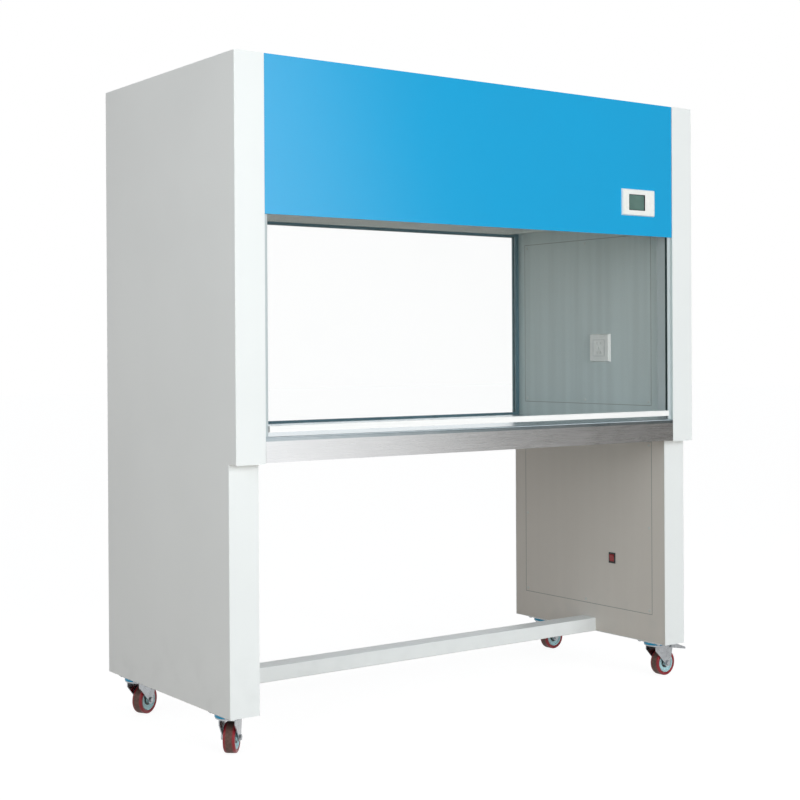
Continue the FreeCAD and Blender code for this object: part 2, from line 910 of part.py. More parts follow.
def impeller():
    """Backward-curved fan wheel with its rotor, back plate at height nought."""
    t = blade_sheet
    bore = shaft_radius + running_gap
    plate = turned([(bore, 0), (impeller_radius, 0), (impeller_radius, t), (bore, t)], "Z")
    rotor = turned([(bore, -rotor_height), (rotor_radius, -rotor_height), (rotor_radius, 0), (bore, 0)], "Z")
    collar = blade_high + eye_collar
    shroud = turned([
        (impeller_radius, blade_low), (impeller_radius, blade_low + t), (impeller_eye + t, blade_high + t),
        (impeller_eye + t, collar), (impeller_eye, collar), (impeller_eye, blade_high),
    ], "Z")
    one = blade()
    blades = [one.rotated(ORIGIN, Z_AXIS, 360.0 * i / blade_count) for i in range(blade_count)]
    return fused([plate, rotor, shroud] + blades)


def fan_motor():
    """Stator of the motor with the shaft that carries the fan wheel."""
    low = -rotor_height - motor_gap - motor_base
    base = low + motor_base
    return turned([
        (0, low), (rotor_radius - motor_base, low), (rotor_radius - motor_base, base),
        (shaft_radius, base), (shaft_radius, -motor_gap), (0, -motor_gap),
    ], "Z")


def fan_spider():
    """Crossed flat bars under the motor, with four hexagon pillars up to the deck."""
    top = -rotor_height - motor_gap - motor_base
    reach = spider_radius + 2 * spider_rod
    high = impeller_drop - sheet
    pieces = []
    for angle in (45.0, 135.0):
        bar = box(-reach, reach, -spider_bar / 2, spider_bar / 2, top - spider_sheet, top)
        pieces.append(bar.rotated(ORIGIN, Z_AXIS, angle))
    for i in range(4):
        angle = math.radians(45.0 + 90.0 * i)
        corners = hexagon(spider_rod, spider_radius * math.cos(angle), spider_radius * math.sin(angle))
        pillar = Part.Face(polygon([V(x, y, top) for x, y in corners]))
        pieces.append(pillar.extrude(V(0, 0, high - top)))
    return fused(pieces)


def prefilter():
    """Shallow framed pad under the intake slots."""
    half_x = slot_count * slot_pitch / 2 + prefilter_margin
    half_y = slot_rows * (slot_length + slot_row_gap) / 2 + prefilter_margin
    z1 = z_top - sheet
    return box(-half_x, half_x, y_fan - half_y, y_fan + half_y, z1 - prefilter_height, z1)


def control_box():
    """Closed plastic box on the deck between the fans."""
    z1 = z_deck + control_height
    half_x = control_width / 2
    half_y = control_depth / 2
    block = box(-half_x, half_x, y_fan - half_y, y_fan + half_y, z_deck, z1)
    return rounded(block, 2 * bend, lambda p: near(p.z, z1))


def make_air():
    """Filter, plenum, fans and prefilters."""
    save("hepa_frame", hepa_frame())
    save("hepa_pleats", hepa_pleats())
    save("diffuser_screen", diffuser_screen())
    save("plenum_box", plenum_box())
    save("control_box", control_box())
    groups = {"inlet_nozzles": [], "fan_motors": [], "prefilters": []}
    wheel = impeller()
    for side, x in (("left", -fan_offset), ("right", fan_offset)):
        place = V(x, y_fan, z_impeller)
        groups["inlet_nozzles"].append(inlet_nozzle().translated(V(x, y_fan, z_deck)))
        groups["fan_motors"] += [fan_motor().translated(place), fan_spider().translated(place)]
        groups["prefilters"].append(prefilter().translated(V(x, 0, 0)))
        save(side + "_impeller", wheel.translated(place))
    for name, pieces in groups.items():
        save(name, *pieces)


# Lamps

def lamp_holder(x, y, side):
    """End holder of a tube, on the side away from the tube."""
    half = holder_width / 2
    middle = x + side * half
    z1 = z_ceiling - batten_height
    return box(middle - half, middle + half, y - half, y + half, z1 - holder_height, z1)


def make_lamps():
    """Batten with its holders, light tube and germicidal tube."""
    half = light_length / 2 + 2 * holder_width
    y_uv = y_lamp + lamp_spacing
    z0 = z_ceiling - batten_height
    batten = box(-half, half, y_lamp - batten_margin, y_uv + batten_margin, z0, z_ceiling)
    pieces = [rounded(batten, bend, lambda p: near(p.z, z0))]
    tubes = []
    for y, length in ((y_lamp, light_length), (y_uv, uv_length)):
        pieces += [lamp_holder(side * length / 2, y, side) for side in (-1, 1)]
        tubes.append(cylinder(tube_radius, V(-length / 2, y, z_lamp), length, X_AXIS))
    save("lamp_fittings", fused(pieces))
    save("lamp_tubes", *tubes)


# Display, socket, switch and gland

def bevelled_plate(centre, half_width, half_height, proud, bevel, sideways, upright, outwards):
    """Plate with sloped sides: its back on a wall at the centre, its face set out from it."""
    sections = []
    for depth, inset in ((0.0, 0.0), (proud, bevel)):
        a = sideways * (half_width - inset)
        b = upright * (half_height - inset)
        middle = centre + outwards * depth
        sections.append(polygon([middle - a - b, middle + a - b, middle + a + b, middle - a + b]))
    return Part.makeLoft(sections, True, True)


def display_block(half_x, half_z, x, y0, y1):
    """Block of the display about its height in the hood's front."""
    return box(x - half_x, x + half_x, y0, y1, display_z - half_z, display_z + half_z)


def make_display():
    """Display bezel with its sunk window, and the screen in it."""
    y_face = y_panel - display_proud
    centre = V(display_x, y_panel, display_z)
    half_x = display_width / 2
    half_z = display_height / 2
    plate = bevelled_plate(centre, half_x, half_z, display_proud, display_bevel, X_AXIS, Z_AXIS, -Y_AXIS)
    inset = display_body_inset
    body = display_block(half_x - inset, half_z - inset, display_x, y_panel, y_panel + display_body_depth)
    y_screen = y_face + screen_sink
    screen_x = display_x + screen_offset
    window = display_block(screen_width / 2, screen_height / 2, screen_x, y_face, y_screen + screen_sheet)
    screen = display_block(screen_width / 2, screen_height / 2, screen_x, y_screen, y_screen + screen_sheet)
    save("display_bezel", fused([plate, body]).cut(window))
    save("display_screen", screen)


def wall_block(y, z, half_y, half_z, x0, x1):
    """Block about a point of the right liner."""
    return box(x0, x1, y - half_y, y + half_y, z - half_z, z + half_z)


def pin_slot(dy, dz, angle):
    """One contact slot of the wall socket, as far from its centre as given."""
    x_face = x_in - socket_proud - module_proud
    half_y = pin_slot_width / 2
    slot = wall_block(0.0, 0.0, half_y, pin_slot_length / 2, x_face, x_face + slot_depth)
    return slot.rotated(ORIGIN, X_AXIS, angle).translated(V(0, socket_y + dy, socket_z + dz))


def socket_plate():
    """Thick wall plate with sloped sides, its module with five slots, and its body behind."""
    centre = V(x_in, socket_y, socket_z)
    half = socket_size / 2
    x_face = x_in - socket_proud
    plate = bevelled_plate(centre, half, half, socket_proud, socket_bevel, Y_AXIS, Z_AXIS, -X_AXIS)
    body = socket_body / 2
    pieces = [
        plate,
        wall_block(socket_y, socket_z, body, body, x_in, x_in + socket_body_depth),
        wall_block(socket_y, socket_z, module_width / 2, module_height / 2, x_face - module_proud, x_face),
    ]
    slots = [
        pin_slot(-pin_spread, pin_pitch, 0.0),
        pin_slot(pin_spread, pin_pitch, 0.0),
        pin_slot(0.0, 0.0, 0.0),
        pin_slot(-pin_spread, -pin_pitch, pin_tilt),
        pin_slot(pin_spread, -pin_pitch, -pin_tilt),
    ]
    return fused(pieces).cut(slots)


def switch_housing():
    """Black switch body with its flange, and the well and pin holes for the rocker."""
    pivot = x_in + rocker_pivot_depth
    flange = wall_block(switch_y, switch_z, switch_width / 2, switch_height / 2, x_in - switch_flange, x_in)
    body = wall_block(
        switch_y, switch_z, switch_body_width / 2, switch_body_height / 2, x_in, x_in + switch_body_depth,
    )
    well_half = rocker_width / 2 + seat_gap
    well = wall_block(
        switch_y, switch_z, well_half, rocker_radius + seat_gap, x_in - switch_flange, pivot + rocker_radius,
    )
    reach = well_half + rocker_pin_length + running_gap
    pin = cylinder(rocker_pin + running_gap, V(pivot, switch_y - reach, switch_z), 2 * reach, Y_AXIS)
    return fused([flange, body]).cut([well, pin])


def switch_rocker():
    """Rocker with a V front and round ends, tipped to its off side."""
    pivot = x_in + rocker_pivot_depth
    y0 = switch_y - rocker_width / 2
    crest = x_in - switch_flange
    rise = rocker_radius * math.tan(math.radians(rocker_angle))
    back = pivot + 2 * rocker_pin
    block = front_to_back([
        (crest, switch_z), (crest - rise, switch_z + rocker_radius), (back, switch_z + rocker_radius),
        (back, switch_z - rocker_radius), (crest - rise, switch_z - rocker_radius),
    ], y0, y0 + rocker_width)
    drum = cylinder(rocker_radius, V(pivot, y0, switch_z), rocker_width, Y_AXIS)
    reach = rocker_width / 2 + seat_gap + rocker_pin_length
    pin = cylinder(rocker_pin, V(pivot, switch_y - reach, switch_z), 2 * reach, Y_AXIS)
    level = fused([block.common(drum), pin])
    return level.rotated(V(pivot, switch_y, switch_z), Y_AXIS, -rocker_angle)


def power_gland():
    """Cable gland through the rear fold of the right wall, closed by its seal."""
    corners = hexagon(gland_nut, x_caster, gland_z)
    y_inside = y_rear - sheet
    y_dome = y_rear + gland_nut_height
    start = y_inside - 2 * gland_nut_height
    pieces = [
        front_to_back(corners, y_rear, y_dome),
        front_to_back(corners, y_inside - gland_nut_height, y_inside),
        cylinder(gland_thread, V(x_caster, start, gland_z), y_dome - start, Y_AXIS),
        Part.makeCone(gland_dome, gland_thread, gland_dome, V(x_caster, y_dome, gland_z), Y_AXIS),
    ]
    mouth_start = V(x_caster, y_dome + gland_dome - gland_mouth_depth, gland_z)
    mouth = cylinder(gland_mouth, mouth_start, gland_mouth_depth, Y_AXIS)
    return fused(pieces).cut(mouth)


# Casters, drawn with the swivel axis on Z, the floor at nought and the wheel trailing towards +X

def caster_plate():
    """Top plate with its ball race and the kingpin, whose nut holds the fork."""
    plate = box(-plate_x / 2, plate_x / 2, -plate_y / 2, plate_y / 2, plate_low, caster_height)
    corners = [e for e in plate.Edges if near(abs(e.Curve.Direction.dot(Z_AXIS)), 1.0)]
    nut_top = crown_low - seat_gap
    nut = Part.Face(polygon([V(x, y, nut_top) for x, y in hexagon(kingpin_nut, 0.0, 0.0)]))
    pieces = [
        plate.makeChamfer(plate_corner, corners),
        cylinder(race_radius, V(0, 0, race_low), plate_low - race_low, Z_AXIS),
        cylinder(kingpin_radius, V(0, 0, nut_top), race_low - nut_top, Z_AXIS),
        nut.extrude(V(0, 0, -kingpin_nut_height)),
    ]
    return fused(pieces)


def seal_ring():
    """Coloured dust ring around the ball race."""
    inner = race_radius + seat_gap
    outer = inner + seal_width
    low = race_low + seat_gap
    return turned([(inner, low), (outer, low), (outer, plate_low), (inner, plate_low)], "Z")


def fork_cheek(y0):
    """One side of the fork, tapering to a round end at the axle."""
    r = cheek_eye
    rear = pedal_pivot_x + cheek_back
    corners = [
        V(trail - r, y0, wheel_radius), V(-crown_front, y0, crown_top - cheek_front_skirt),
        V(-crown_front, y0, crown_top), V(rear, y0, crown_top), V(rear, y0, crown_top - cheek_skirt),
        V(trail + r, y0, wheel_radius),
    ]
    edges = [Part.makeLine(a, b) for a, b in zip(corners, corners[1:])]
    edges.append(Part.Arc(corners[-1], V(trail, y0, wheel_radius - r), corners[0]).toShape())
    return Part.Face(Part.Wire(edges)).extrude(V(0, fork_sheet, 0))


def pin_bar(radius, x, z, reach):
    """Round bar across the caster, as far to each side as the reach."""
    return cylinder(radius, V(x, -reach, z), 2 * reach, Y_AXIS)


def axle_bolt():
    """Axle with its hexagon head and nut."""
    corners = hexagon(bolt_head, trail, wheel_radius)
    return [
        pin_bar(bolt_radius, trail, wheel_radius, fork_outer),
        front_to_back(corners, -fork_outer - bolt_head_height, -fork_outer),
        front_to_back(corners, fork_outer, fork_outer + nut_height),
    ]


def pedal_bolt():
    """Bolt that carries the brake pedal, with its hexagon head and nut."""
    reach = fork_outer + pedal_gap + pedal_sheet + pedal_gap
    corners = hexagon(pedal_pin + pedal_bolt_rim, pedal_pivot_x, pedal_pivot_z)
    pieces = [pin_bar(pedal_pin, pedal_pivot_x, pedal_pivot_z, reach)]
    for y in (-reach - pedal_bolt_head, reach):
        pieces.append(front_to_back(corners, y, y + pedal_bolt_head))
    return pieces


def fork(braked):
    """Folded fork with its axle bolt, and with the pedal's bolt on a braked caster."""
    crown = box(-crown_front, crown_rear, -fork_outer, fork_outer, crown_low, crown_top)
    disc = cylinder(race_radius + crown_rim, V(0, 0, crown_low), crown_sheet, Z_AXIS)
    pieces = [crown, disc, fork_cheek(-fork_outer), fork_cheek(fork_inner)] + axle_bolt()
    if braked:
        pieces += pedal_bolt()
    hole = cylinder(kingpin_radius + running_gap, V(0, 0, crown_low), crown_sheet, Z_AXIS)
    return fused(pieces).cut(hole)


def wheel_core():
    """Moulded wheel centre, dished between hub and rim."""
    bore = bolt_radius + running_gap
    hub = hub_width / 2
    rim = wheel_width / 2 - rim_sink
    dish = rim - web_dish
    inner_rim = rim_radius - rim_sheet
    side = [(bore, hub), (hub_boss, hub), (hub_boss, dish)]
    side += [(inner_rim, dish), (inner_rim, rim), (rim_radius, rim)]
    outline = side + [(r, -y) for r, y in reversed(side)]
    return turned(outline, "Y").translated(V(trail, 0, wheel_radius))


def tyre():
    """Tread moulded on the core, flat with sloped shoulders."""
    half = wheel_width / 2
    side = [
        (rim_radius, half), (wheel_radius - tread_radius, half), (wheel_radius, half - tread_radius),
    ]
    ring = turned([(r, -y) for r, y in side] + side[::-1], "Y")
    return ring.translated(V(trail, 0, wheel_radius))


def brake_pedal():
    """Pressed pedal that straddles the fork, with the shoe that bears on the tyre."""
    inner = fork_outer + pedal_gap
    outer = inner + pedal_sheet
    x = pedal_pivot_x
    z = pedal_pivot_z
    start = x + cheek_back + pedal_clear
    tip = x + pedal_length
    tip_z = z - pedal_fall
    high = z + pedal_rise
    under = high - pedal_sheet
    cheek = [
        (x - pedal_eye, z - pedal_eye), (tip, tip_z - pedal_eye), (tip, tip_z),
        (start + pedal_rise, high), (x - pedal_rise, high), (x - pedal_eye, z),
    ]
    tread = [
        (start, under), (start + pedal_rise, under), (tip, tip_z - pedal_sheet), (tip, tip_z),
        (start + pedal_rise, high), (start, high),
    ]
    angle = math.radians(shoe_angle)
    shoe_x = trail + (wheel_radius + shoe_lift) * math.cos(angle)
    shoe_z = wheel_radius + (wheel_radius + shoe_lift) * math.sin(angle)
    shoe = [
        (start, high), (start + shoe_sheet, high),
        (shoe_x + shoe_sheet, shoe_z + shoe_rise), (shoe_x, shoe_z),
        (shoe_x - shoe_foot * math.sin(angle), shoe_z + shoe_foot * math.cos(angle)),
    ]
    pieces = [
        front_to_back(cheek, -outer, -inner),
        front_to_back(cheek, inner, outer),
        front_to_back(tread, -outer, outer),
        front_to_back(shoe, -shoe_width / 2, shoe_width / 2),
    ]
    return fused(pieces).cut(pin_bar(pedal_pin + running_gap, x, z, outer + pedal_gap))


def make_caster(corner, x, y, braked):
    """Fork, wheel and pedal of one caster, turned to its heading."""
    def place(shape):
        return shape.rotated(ORIGIN, Z_AXIS, headings[corner]).translated(V(x, y, 0))

    save(corner + "_fork", place(fork(braked)))
    save(corner + "_wheel_core", place(wheel_core()))
    save(corner + "_tyre", place(tyre()))
    if braked:
        save(corner + "_brake_pedal", place(brake_pedal()))


def make_casters():
    """Four casters at the corners, the front two with brakes."""
    plates = []
    rings = []
    for side, x in (("left", -x_caster), ("right", x_caster)):
        for end, y in (("front", y_front_caster), ("rear", y_rear_caster)):
            plates.append(caster_plate().translated(V(x, y, 0)))
            rings.append(seal_ring().translated(V(x, y, 0)))
            make_caster(end + "_" + side, x, y, end == "front")
    save("caster_plates", *plates)
    save("caster_seal_rings", *rings)


def main():
    """Build every piece in its place."""
    os.makedirs("parts", exist_ok=True)
    make_walls()
    save("foot_crossbar", foot_crossbar())
    save("worktop", worktop())
    save("worktop_frame", worktop_frame())
    save("front_panel", front_panel())
    save("hood_top_cover", hood_top_cover())
    save("hood_rear_panel", hood_rear_panel())
    save("ceiling_panel", ceiling_panel())
    save("rear_glass_frame", rear_glass_frame())
    save("rear_glass", glass_pane(0.0))
    make_sash()
    make_air()
    make_lamps()
    make_display()
    save("socket_plate", socket_plate())
    save("switch_housing", switch_housing())
    save("switch_rocker", switch_rocker())
    save("power_gland", power_gland())
    make_casters()


main()
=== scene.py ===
import json
import logging
import math
from dataclasses import dataclass
from enum import Enum
from functools import lru_cache
from typing import Any, Callable, Dict, List, Optional, Sequence, Tuple, Union

import bmesh
import bpy
from mathutils import Euler, Matrix, Vector

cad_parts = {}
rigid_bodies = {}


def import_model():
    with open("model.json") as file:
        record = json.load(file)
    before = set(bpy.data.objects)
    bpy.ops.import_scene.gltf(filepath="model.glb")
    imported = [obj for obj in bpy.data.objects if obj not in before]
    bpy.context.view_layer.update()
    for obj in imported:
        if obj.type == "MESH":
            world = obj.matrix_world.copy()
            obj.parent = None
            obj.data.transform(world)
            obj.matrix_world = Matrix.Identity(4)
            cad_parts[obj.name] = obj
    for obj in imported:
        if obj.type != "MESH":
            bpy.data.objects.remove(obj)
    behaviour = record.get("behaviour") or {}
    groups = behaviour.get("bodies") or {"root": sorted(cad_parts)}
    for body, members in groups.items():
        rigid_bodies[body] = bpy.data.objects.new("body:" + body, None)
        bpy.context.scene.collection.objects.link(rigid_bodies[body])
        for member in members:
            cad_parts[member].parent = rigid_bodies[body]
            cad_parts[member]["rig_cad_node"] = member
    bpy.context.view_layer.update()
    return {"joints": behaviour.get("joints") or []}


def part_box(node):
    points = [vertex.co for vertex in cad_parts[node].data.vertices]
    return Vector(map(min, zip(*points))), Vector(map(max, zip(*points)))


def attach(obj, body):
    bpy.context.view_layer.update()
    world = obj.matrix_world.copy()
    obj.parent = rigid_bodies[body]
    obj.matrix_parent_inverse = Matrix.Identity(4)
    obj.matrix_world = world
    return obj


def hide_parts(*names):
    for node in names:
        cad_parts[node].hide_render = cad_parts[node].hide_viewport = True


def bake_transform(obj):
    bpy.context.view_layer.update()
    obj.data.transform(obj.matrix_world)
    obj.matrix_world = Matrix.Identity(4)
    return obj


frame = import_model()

log = logging.getLogger("cabinet")

Colour = Tuple[float, float, float]
Point = Tuple[float, float, float]
Number = Union[float, "Sock"]
WHITE_LIGHT: Colour = (1.0, 1.0, 1.0)
SMALL_EDGE = 0.0003  # the bevel of small metal edges, in metres


def srgb(red: float, green: float, blue: float) -> Colour:
    """Turn a colour as a screen shows it into the linear one that a shader takes.

    Args:
        red, green, blue: the colour, each from 0 to 255.

    Returns:
        The same colour, linear, each from 0 to 1.
    """
    def linear(value: float) -> float:
        """Undo the screen's curve for one channel."""
        level = value / 255.0
        return level / 12.92 if level <= 0.04045 else ((level + 0.055) / 1.055) ** 2.4
    return linear(red), linear(green), linear(blue)


class Sock:
    """An output of a shader node, with the arithmetic that makes Math nodes."""

    def __init__(self, paint: "Paint", link: Any) -> None:
        """Keep the socket and the material that it belongs to."""
        self.paint, self.link = paint, link

    def _math(self, operation: str, *terms: Number, clamp: bool = False) -> "Sock":
        """Add one Math node.

        Args:
            operation: the node's operation.
            terms: what goes into its sockets, in order.
            clamp: whether the result stays between 0 and 1.

        Returns:
            The node's result.
        """
        settings = {"operation": operation, "use_clamp": clamp}
        return self.paint.out("ShaderNodeMath", settings, dict(enumerate(terms)))

    def __add__(self, other: Number) -> "Sock":
        """Add a number or a socket."""
        return self._math("ADD", self, other)

    __radd__ = __add__

    def __sub__(self, other: Number) -> "Sock":
        """Take away a number or a socket."""
        return self._math("SUBTRACT", self, other)

    def __rsub__(self, other: Number) -> "Sock":
        """Take this socket away from a number."""
        return self._math("SUBTRACT", other, self)

    def __mul__(self, other: Number) -> "Sock":
        """Multiply by a number or a socket."""
        return self._math("MULTIPLY", self, other)

    __rmul__ = __mul__

    def __gt__(self, other: Number) -> "Sock":
        """Give 1 where this is more."""
        return self._math("GREATER_THAN", self, other)

    def __lt__(self, other: Number) -> "Sock":
        """Give 1 where this is less."""
        return self._math("LESS_THAN", self, other)

    def power(self, exponent: float) -> "Sock":
        """Raise to a power."""
        return self._math("POWER", self, exponent)

    def clipped(self) -> "Sock":
        """Keep between 0 and 1."""
        return self._math("ADD", self, 0.0, clamp=True)

    def saw(self, step: float) -> "Sock":
        """Give the distance from the nearest multiple of a step."""
        return self._math("PINGPONG", self, step / 2.0)

    def ramp(self, low: float, high: float, start: float = 0.0, end: float = 1.0) -> "Sock":
        """Map a range of values smoothly to another.

        Args:
            low, high: the range that is read.
            start, end: what its two ends become.

        Returns:
            The mapped value.
        """
        settings = {"interpolation_type": "SMOOTHSTEP"}
        sockets = {"Value": self, "From Min": low, "From Max": high, "To Min": start, "To Max": end}
        return self.paint.out("ShaderNodeMapRange", settings, sockets, "Result")


class Paint:
    """A material and the nodes that it is made of."""

    def __init__(self, name: str) -> None:
        """Start a material with a Principled shader on its output.

        Args:
            name: the material's name.
        """
        self.material = bpy.data.materials.new(name)
        self.material.use_nodes = True
        self.tree = self.material.node_tree
        self.tree.nodes.clear()
        self.output = self.tree.nodes.new("ShaderNodeOutputMaterial")
        self.shader = self.tree.nodes.new("ShaderNodeBsdfPrincipled")
        self.tree.links.new(self.shader.outputs[0], self.output.inputs["Surface"])
        self.place = self.out("ShaderNodeTexCoord", {}, {}, "Object")

    def fill(self, node: Any, sockets: Dict[Any, Any]) -> None:
        """Set or link the sockets of a node.

        Args:
            node: the node.
            sockets: for each socket's name or number, a value or a Sock.
        """
        for key, value in sockets.items():
            socket = node.inputs[key]
            if isinstance(value, Sock):
                self.tree.links.new(value.link, socket)
            elif hasattr(socket.default_value, "__len__") and len(socket.default_value) == 4:
                socket.default_value = (*value, 1.0) if len(value) == 3 else value
            else:
                socket.default_value = value

    def out(self, kind: str, settings: Dict[str, Any], sockets: Dict[Any, Any],
            result: Union[int, str] = 0) -> Sock:
        """Add any node.

        Args:
            kind: the node's type.
            settings: its attributes.
            sockets: for each input, a value or a Sock.
            result: the output that is wanted.

        Returns:
            That output.
        """
        node = self.tree.nodes.new(kind)
        for key, value in settings.items():
            setattr(node, key, value)
        self.fill(node, sockets)
        return Sock(self, node.outputs[result])

    def at(self, axis: str) -> Sock:
        """Give one coordinate of the place on the object, in metres."""
        return self.out("ShaderNodeSeparateXYZ", {}, {"Vector": self.place}, axis)

    def noise(self, scale: float, detail: float = 2.0, spread: Optional[Point] = None) -> Sock:
        """Give a noise value about 0.5.

        Args:
            scale: how many waves a metre.
            detail: how many finer layers are added.
            spread: a scale for each axis first, if any.

        Returns:
            The value.
        """
        where = self.place
        if spread:
            where = self.out("ShaderNodeMapping", {}, {"Vector": self.place, "Scale": spread})
        return self.out("ShaderNodeTexNoise", {}, {"Vector": where, "Scale": scale, "Detail": detail})

    def mix(self, factor: Number, first: Any, second: Any) -> Sock:
        """Blend two colours.

        Args:
            factor: 0 for the first, 1 for the second.
            first, second: colours or sockets.

        Returns:
            The blended colour.
        """
        node = self.tree.nodes.new("ShaderNodeMix")
        node.data_type = "RGBA"
        self.fill(node, {0: factor, 6: first, 7: second})
        return Sock(self, node.outputs[2])

    def bumped(self, height: Sock, depth: float) -> Sock:
        """Give the normal of a surface with a relief of 0 to 1, where 1 is a depth in metres."""
        return self.out("ShaderNodeBump", {}, {"Height": height, "Distance": depth, "Strength": 1.0})

    def finish(self, **sockets: Any) -> Any:
        """Set the shader's sockets, named with underscores for spaces, and give the material."""
        self.fill(self.shader, {key.replace("_", " "): value for key, value in sockets.items()})
        return self.material


def shade(colour: Colour, amount: float) -> Colour:
    """Give a colour made darker or lighter by a factor."""
    return tuple(min(1.0, channel * amount) for channel in colour)


@dataclass(frozen=True)
class Skin:
    """What every finish has.

    Attributes:
        name: the material's name.
        colour: its linear colour.
    """

    name: str
    colour: Colour

    def sockets(self, paint: Paint) -> Dict[str, Any]:
        """Give what goes into the shader's sockets; each kind of finish has its own."""
        return {"Base_Color": self.colour}

    def tint(self, paint: Paint, tone: Sock) -> Sock:
        """Give the tone as it is; a finish with a second colour changes it."""
        return tone

    def mottled(self, pattern: Sock, low: float, high: float, dark: float,
                strength: float = 1.0) -> Sock:
        """Darken the colour where a pattern is high.

        Args:
            pattern: the pattern.
            low, high: the range of it that is read.
            dark: the factor of the darker colour.
            strength: how much of the darker colour shows at most.

        Returns:
            The mottled colour.
        """
        share = pattern.ramp(low, high, 0.0, strength)
        return pattern.paint.mix(share, self.colour, shade(self.colour, dark))

    def make(self) -> Any:
        """Build the material."""
        paint = Paint(self.name)
        return paint.finish(**self.sockets(paint))


@dataclass(frozen=True)
class Coat(Skin):
    """Powder coat or paint on sheet metal.

    Attributes:
        gloss_roughness: how rough its shine is.
        ripple: how deep the orange-peel skin is, in metres.
        clear: how much clear coat lies over it.
        streaks: how strongly darker upright streaks show.
    """

    gloss_roughness: float = 0.36
    ripple: float = 0.00003
    clear: float = 0.0
    streaks: float = 0.0

    def sockets(self, paint: Paint) -> Dict[str, Any]:
        """Fine orange peel, faint clouds of tone and darker blotches low down.

        Args:
            paint: the material that is being made.

        Returns:
            What goes into the shader's sockets, by their names.
        """
        clouds = paint.noise(3.0, 3.0)
        peel = paint.noise(520.0, 1.0)
        tone = self.mottled(clouds, 0.3, 0.7, 0.94, 0.35)
        if self.streaks:
            # darker upright streaks
            upright_streaks = paint.noise(9.0, 3.0, (1.0, 3.0, 0.12)).ramp(0.35, 0.65, 0.0, self.streaks)
            tone = paint.mix(upright_streaks, tone, shade(self.colour, 0.82))
        tone = self.tint(paint, tone)
        # darker blotches within 0.35 m of the floor
        low_blotches = paint.noise(16.0, 5.0).ramp(0.45, 0.8, 0.0, 0.25)
        low_down = paint.at("Z").ramp(0.0, 0.35, 1.0, 0.0)
        return dict(
            Base_Color=paint.mix(low_blotches * low_down, tone, shade(self.colour, 0.7)),
            Roughness=self.gloss_roughness + (clouds - 0.5) * 0.12,
            Normal=paint.bumped(peel, self.ripple),
            Coat_Weight=self.clear,
            Coat_Roughness=0.06,
        )


@dataclass(frozen=True)
class Liner(Coat):
    """The coat of a side wall's inner sheet, painted darker and greener than the outer white as painted
    shade and the glass's tint, and of a warmer tone below the worktop as painted bounce light from the
    floor.

    Attributes:
        below: the colour under the worktop, a painted warm bounce of light from the floor.
        level: the height where it changes, in metres.
    """

    below: Colour = (0.73, 0.67, 0.61)
    level: float = 0.74

    def tint(self, paint: Paint, tone: Sock) -> Sock:
        """Warm the tone under the level, as painted bounce light from the floor."""
        return paint.mix((paint.at("Z") < self.level) * 0.8, tone, self.below)


@dataclass(frozen=True)
class Brushed(Skin):
    """Metal with a brushed or rolled grain along one direction.

    Attributes:
        spread: the scale of the grain on each axis; small along the grain.
        roughness: how rough it is on average.
        relief: how deep the grain is, in metres.
        metallic: how much it shines as metal.
    """

    spread: Point = (1.2, 260.0, 260.0)
    roughness: float = 0.3
    relief: float = 0.00001
    metallic: float = 1.0

    def sockets(self, paint: Paint) -> Dict[str, Any]:
        """Long fine lines, wipe marks and faint clouds.

        Args:
            paint: the material that is being made.

        Returns:
            What goes into the shader's sockets, by their names.
        """
        lines = paint.noise(6.0, 3.0, self.spread)
        wipes = paint.noise(7.0, 4.0)
        tone = paint.mix(lines.ramp(0.25, 0.75), shade(self.colour, 0.9), shade(self.colour, 1.05))
        tone = self.tint(paint, tone)
        return dict(
            Base_Color=paint.mix(wipes.ramp(0.4, 0.75, 0.0, 0.3), tone, shade(self.colour, 0.86)),
            Metallic=self.metallic,
            Roughness=self.roughness + (lines - 0.5) * 0.16 + (wipes - 0.5) * 0.08,
            Normal=paint.bumped(lines, self.relief),
        )


@dataclass(frozen=True)
class Tray(Brushed):
    """The brushed sheet of the worktop, whose tray is painted cooler and darker than its apron as a
    painted reflection of the chamber.

    Attributes:
        tray: the colour of the sheet's upper side, a painted reflection of the chamber.
        level: the height above which the sheet is the tray, in metres.
    """

    tray: Colour = (0.42, 0.5, 0.54)
    level: float = 0.755

    def tint(self, paint: Paint, tone: Sock) -> Sock:
        """Cool the tone above the level, as a painted reflection of the chamber."""
        return paint.mix(paint.at("Z") > self.level, tone, self.tray)


@dataclass(frozen=True)
class Plated(Skin):
    """Zinc-plated or cast metal with a mottled skin.

    Attributes:
        roughness: how rough it is on average.
        grain: how many mottles a metre.
        relief: how deep the skin is, in metres.
        metallic: how much it shines as metal.
    """

    roughness: float = 0.32
    grain: float = 90.0
    relief: float = 0.00002
    metallic: float = 1.0

    def sockets(self, paint: Paint) -> Dict[str, Any]:
        """Crystals of tone, finer grit and rubbed patches.

        Args:
            paint: the material that is being made.

        Returns:
            What goes into the shader's sockets, by their names.
        """
        mottle = paint.noise(self.grain, 4.0)
        grit = paint.noise(self.grain * 14.0, 2.0)
        rubbed = paint.noise(self.grain * 0.3, 2.0).ramp(0.42, 0.7)
        tone = paint.mix(mottle.ramp(0.35, 0.68), shade(self.colour, 0.82), self.colour)
        return dict(
            Base_Color=paint.mix(rubbed * 0.4, tone, shade(self.colour, 1.12)),
            Metallic=self.metallic,
            Roughness=self.roughness + (mottle - 0.5) * 0.2 + rubbed * -0.06,
            Normal=paint.bumped(grit, self.relief),
        )


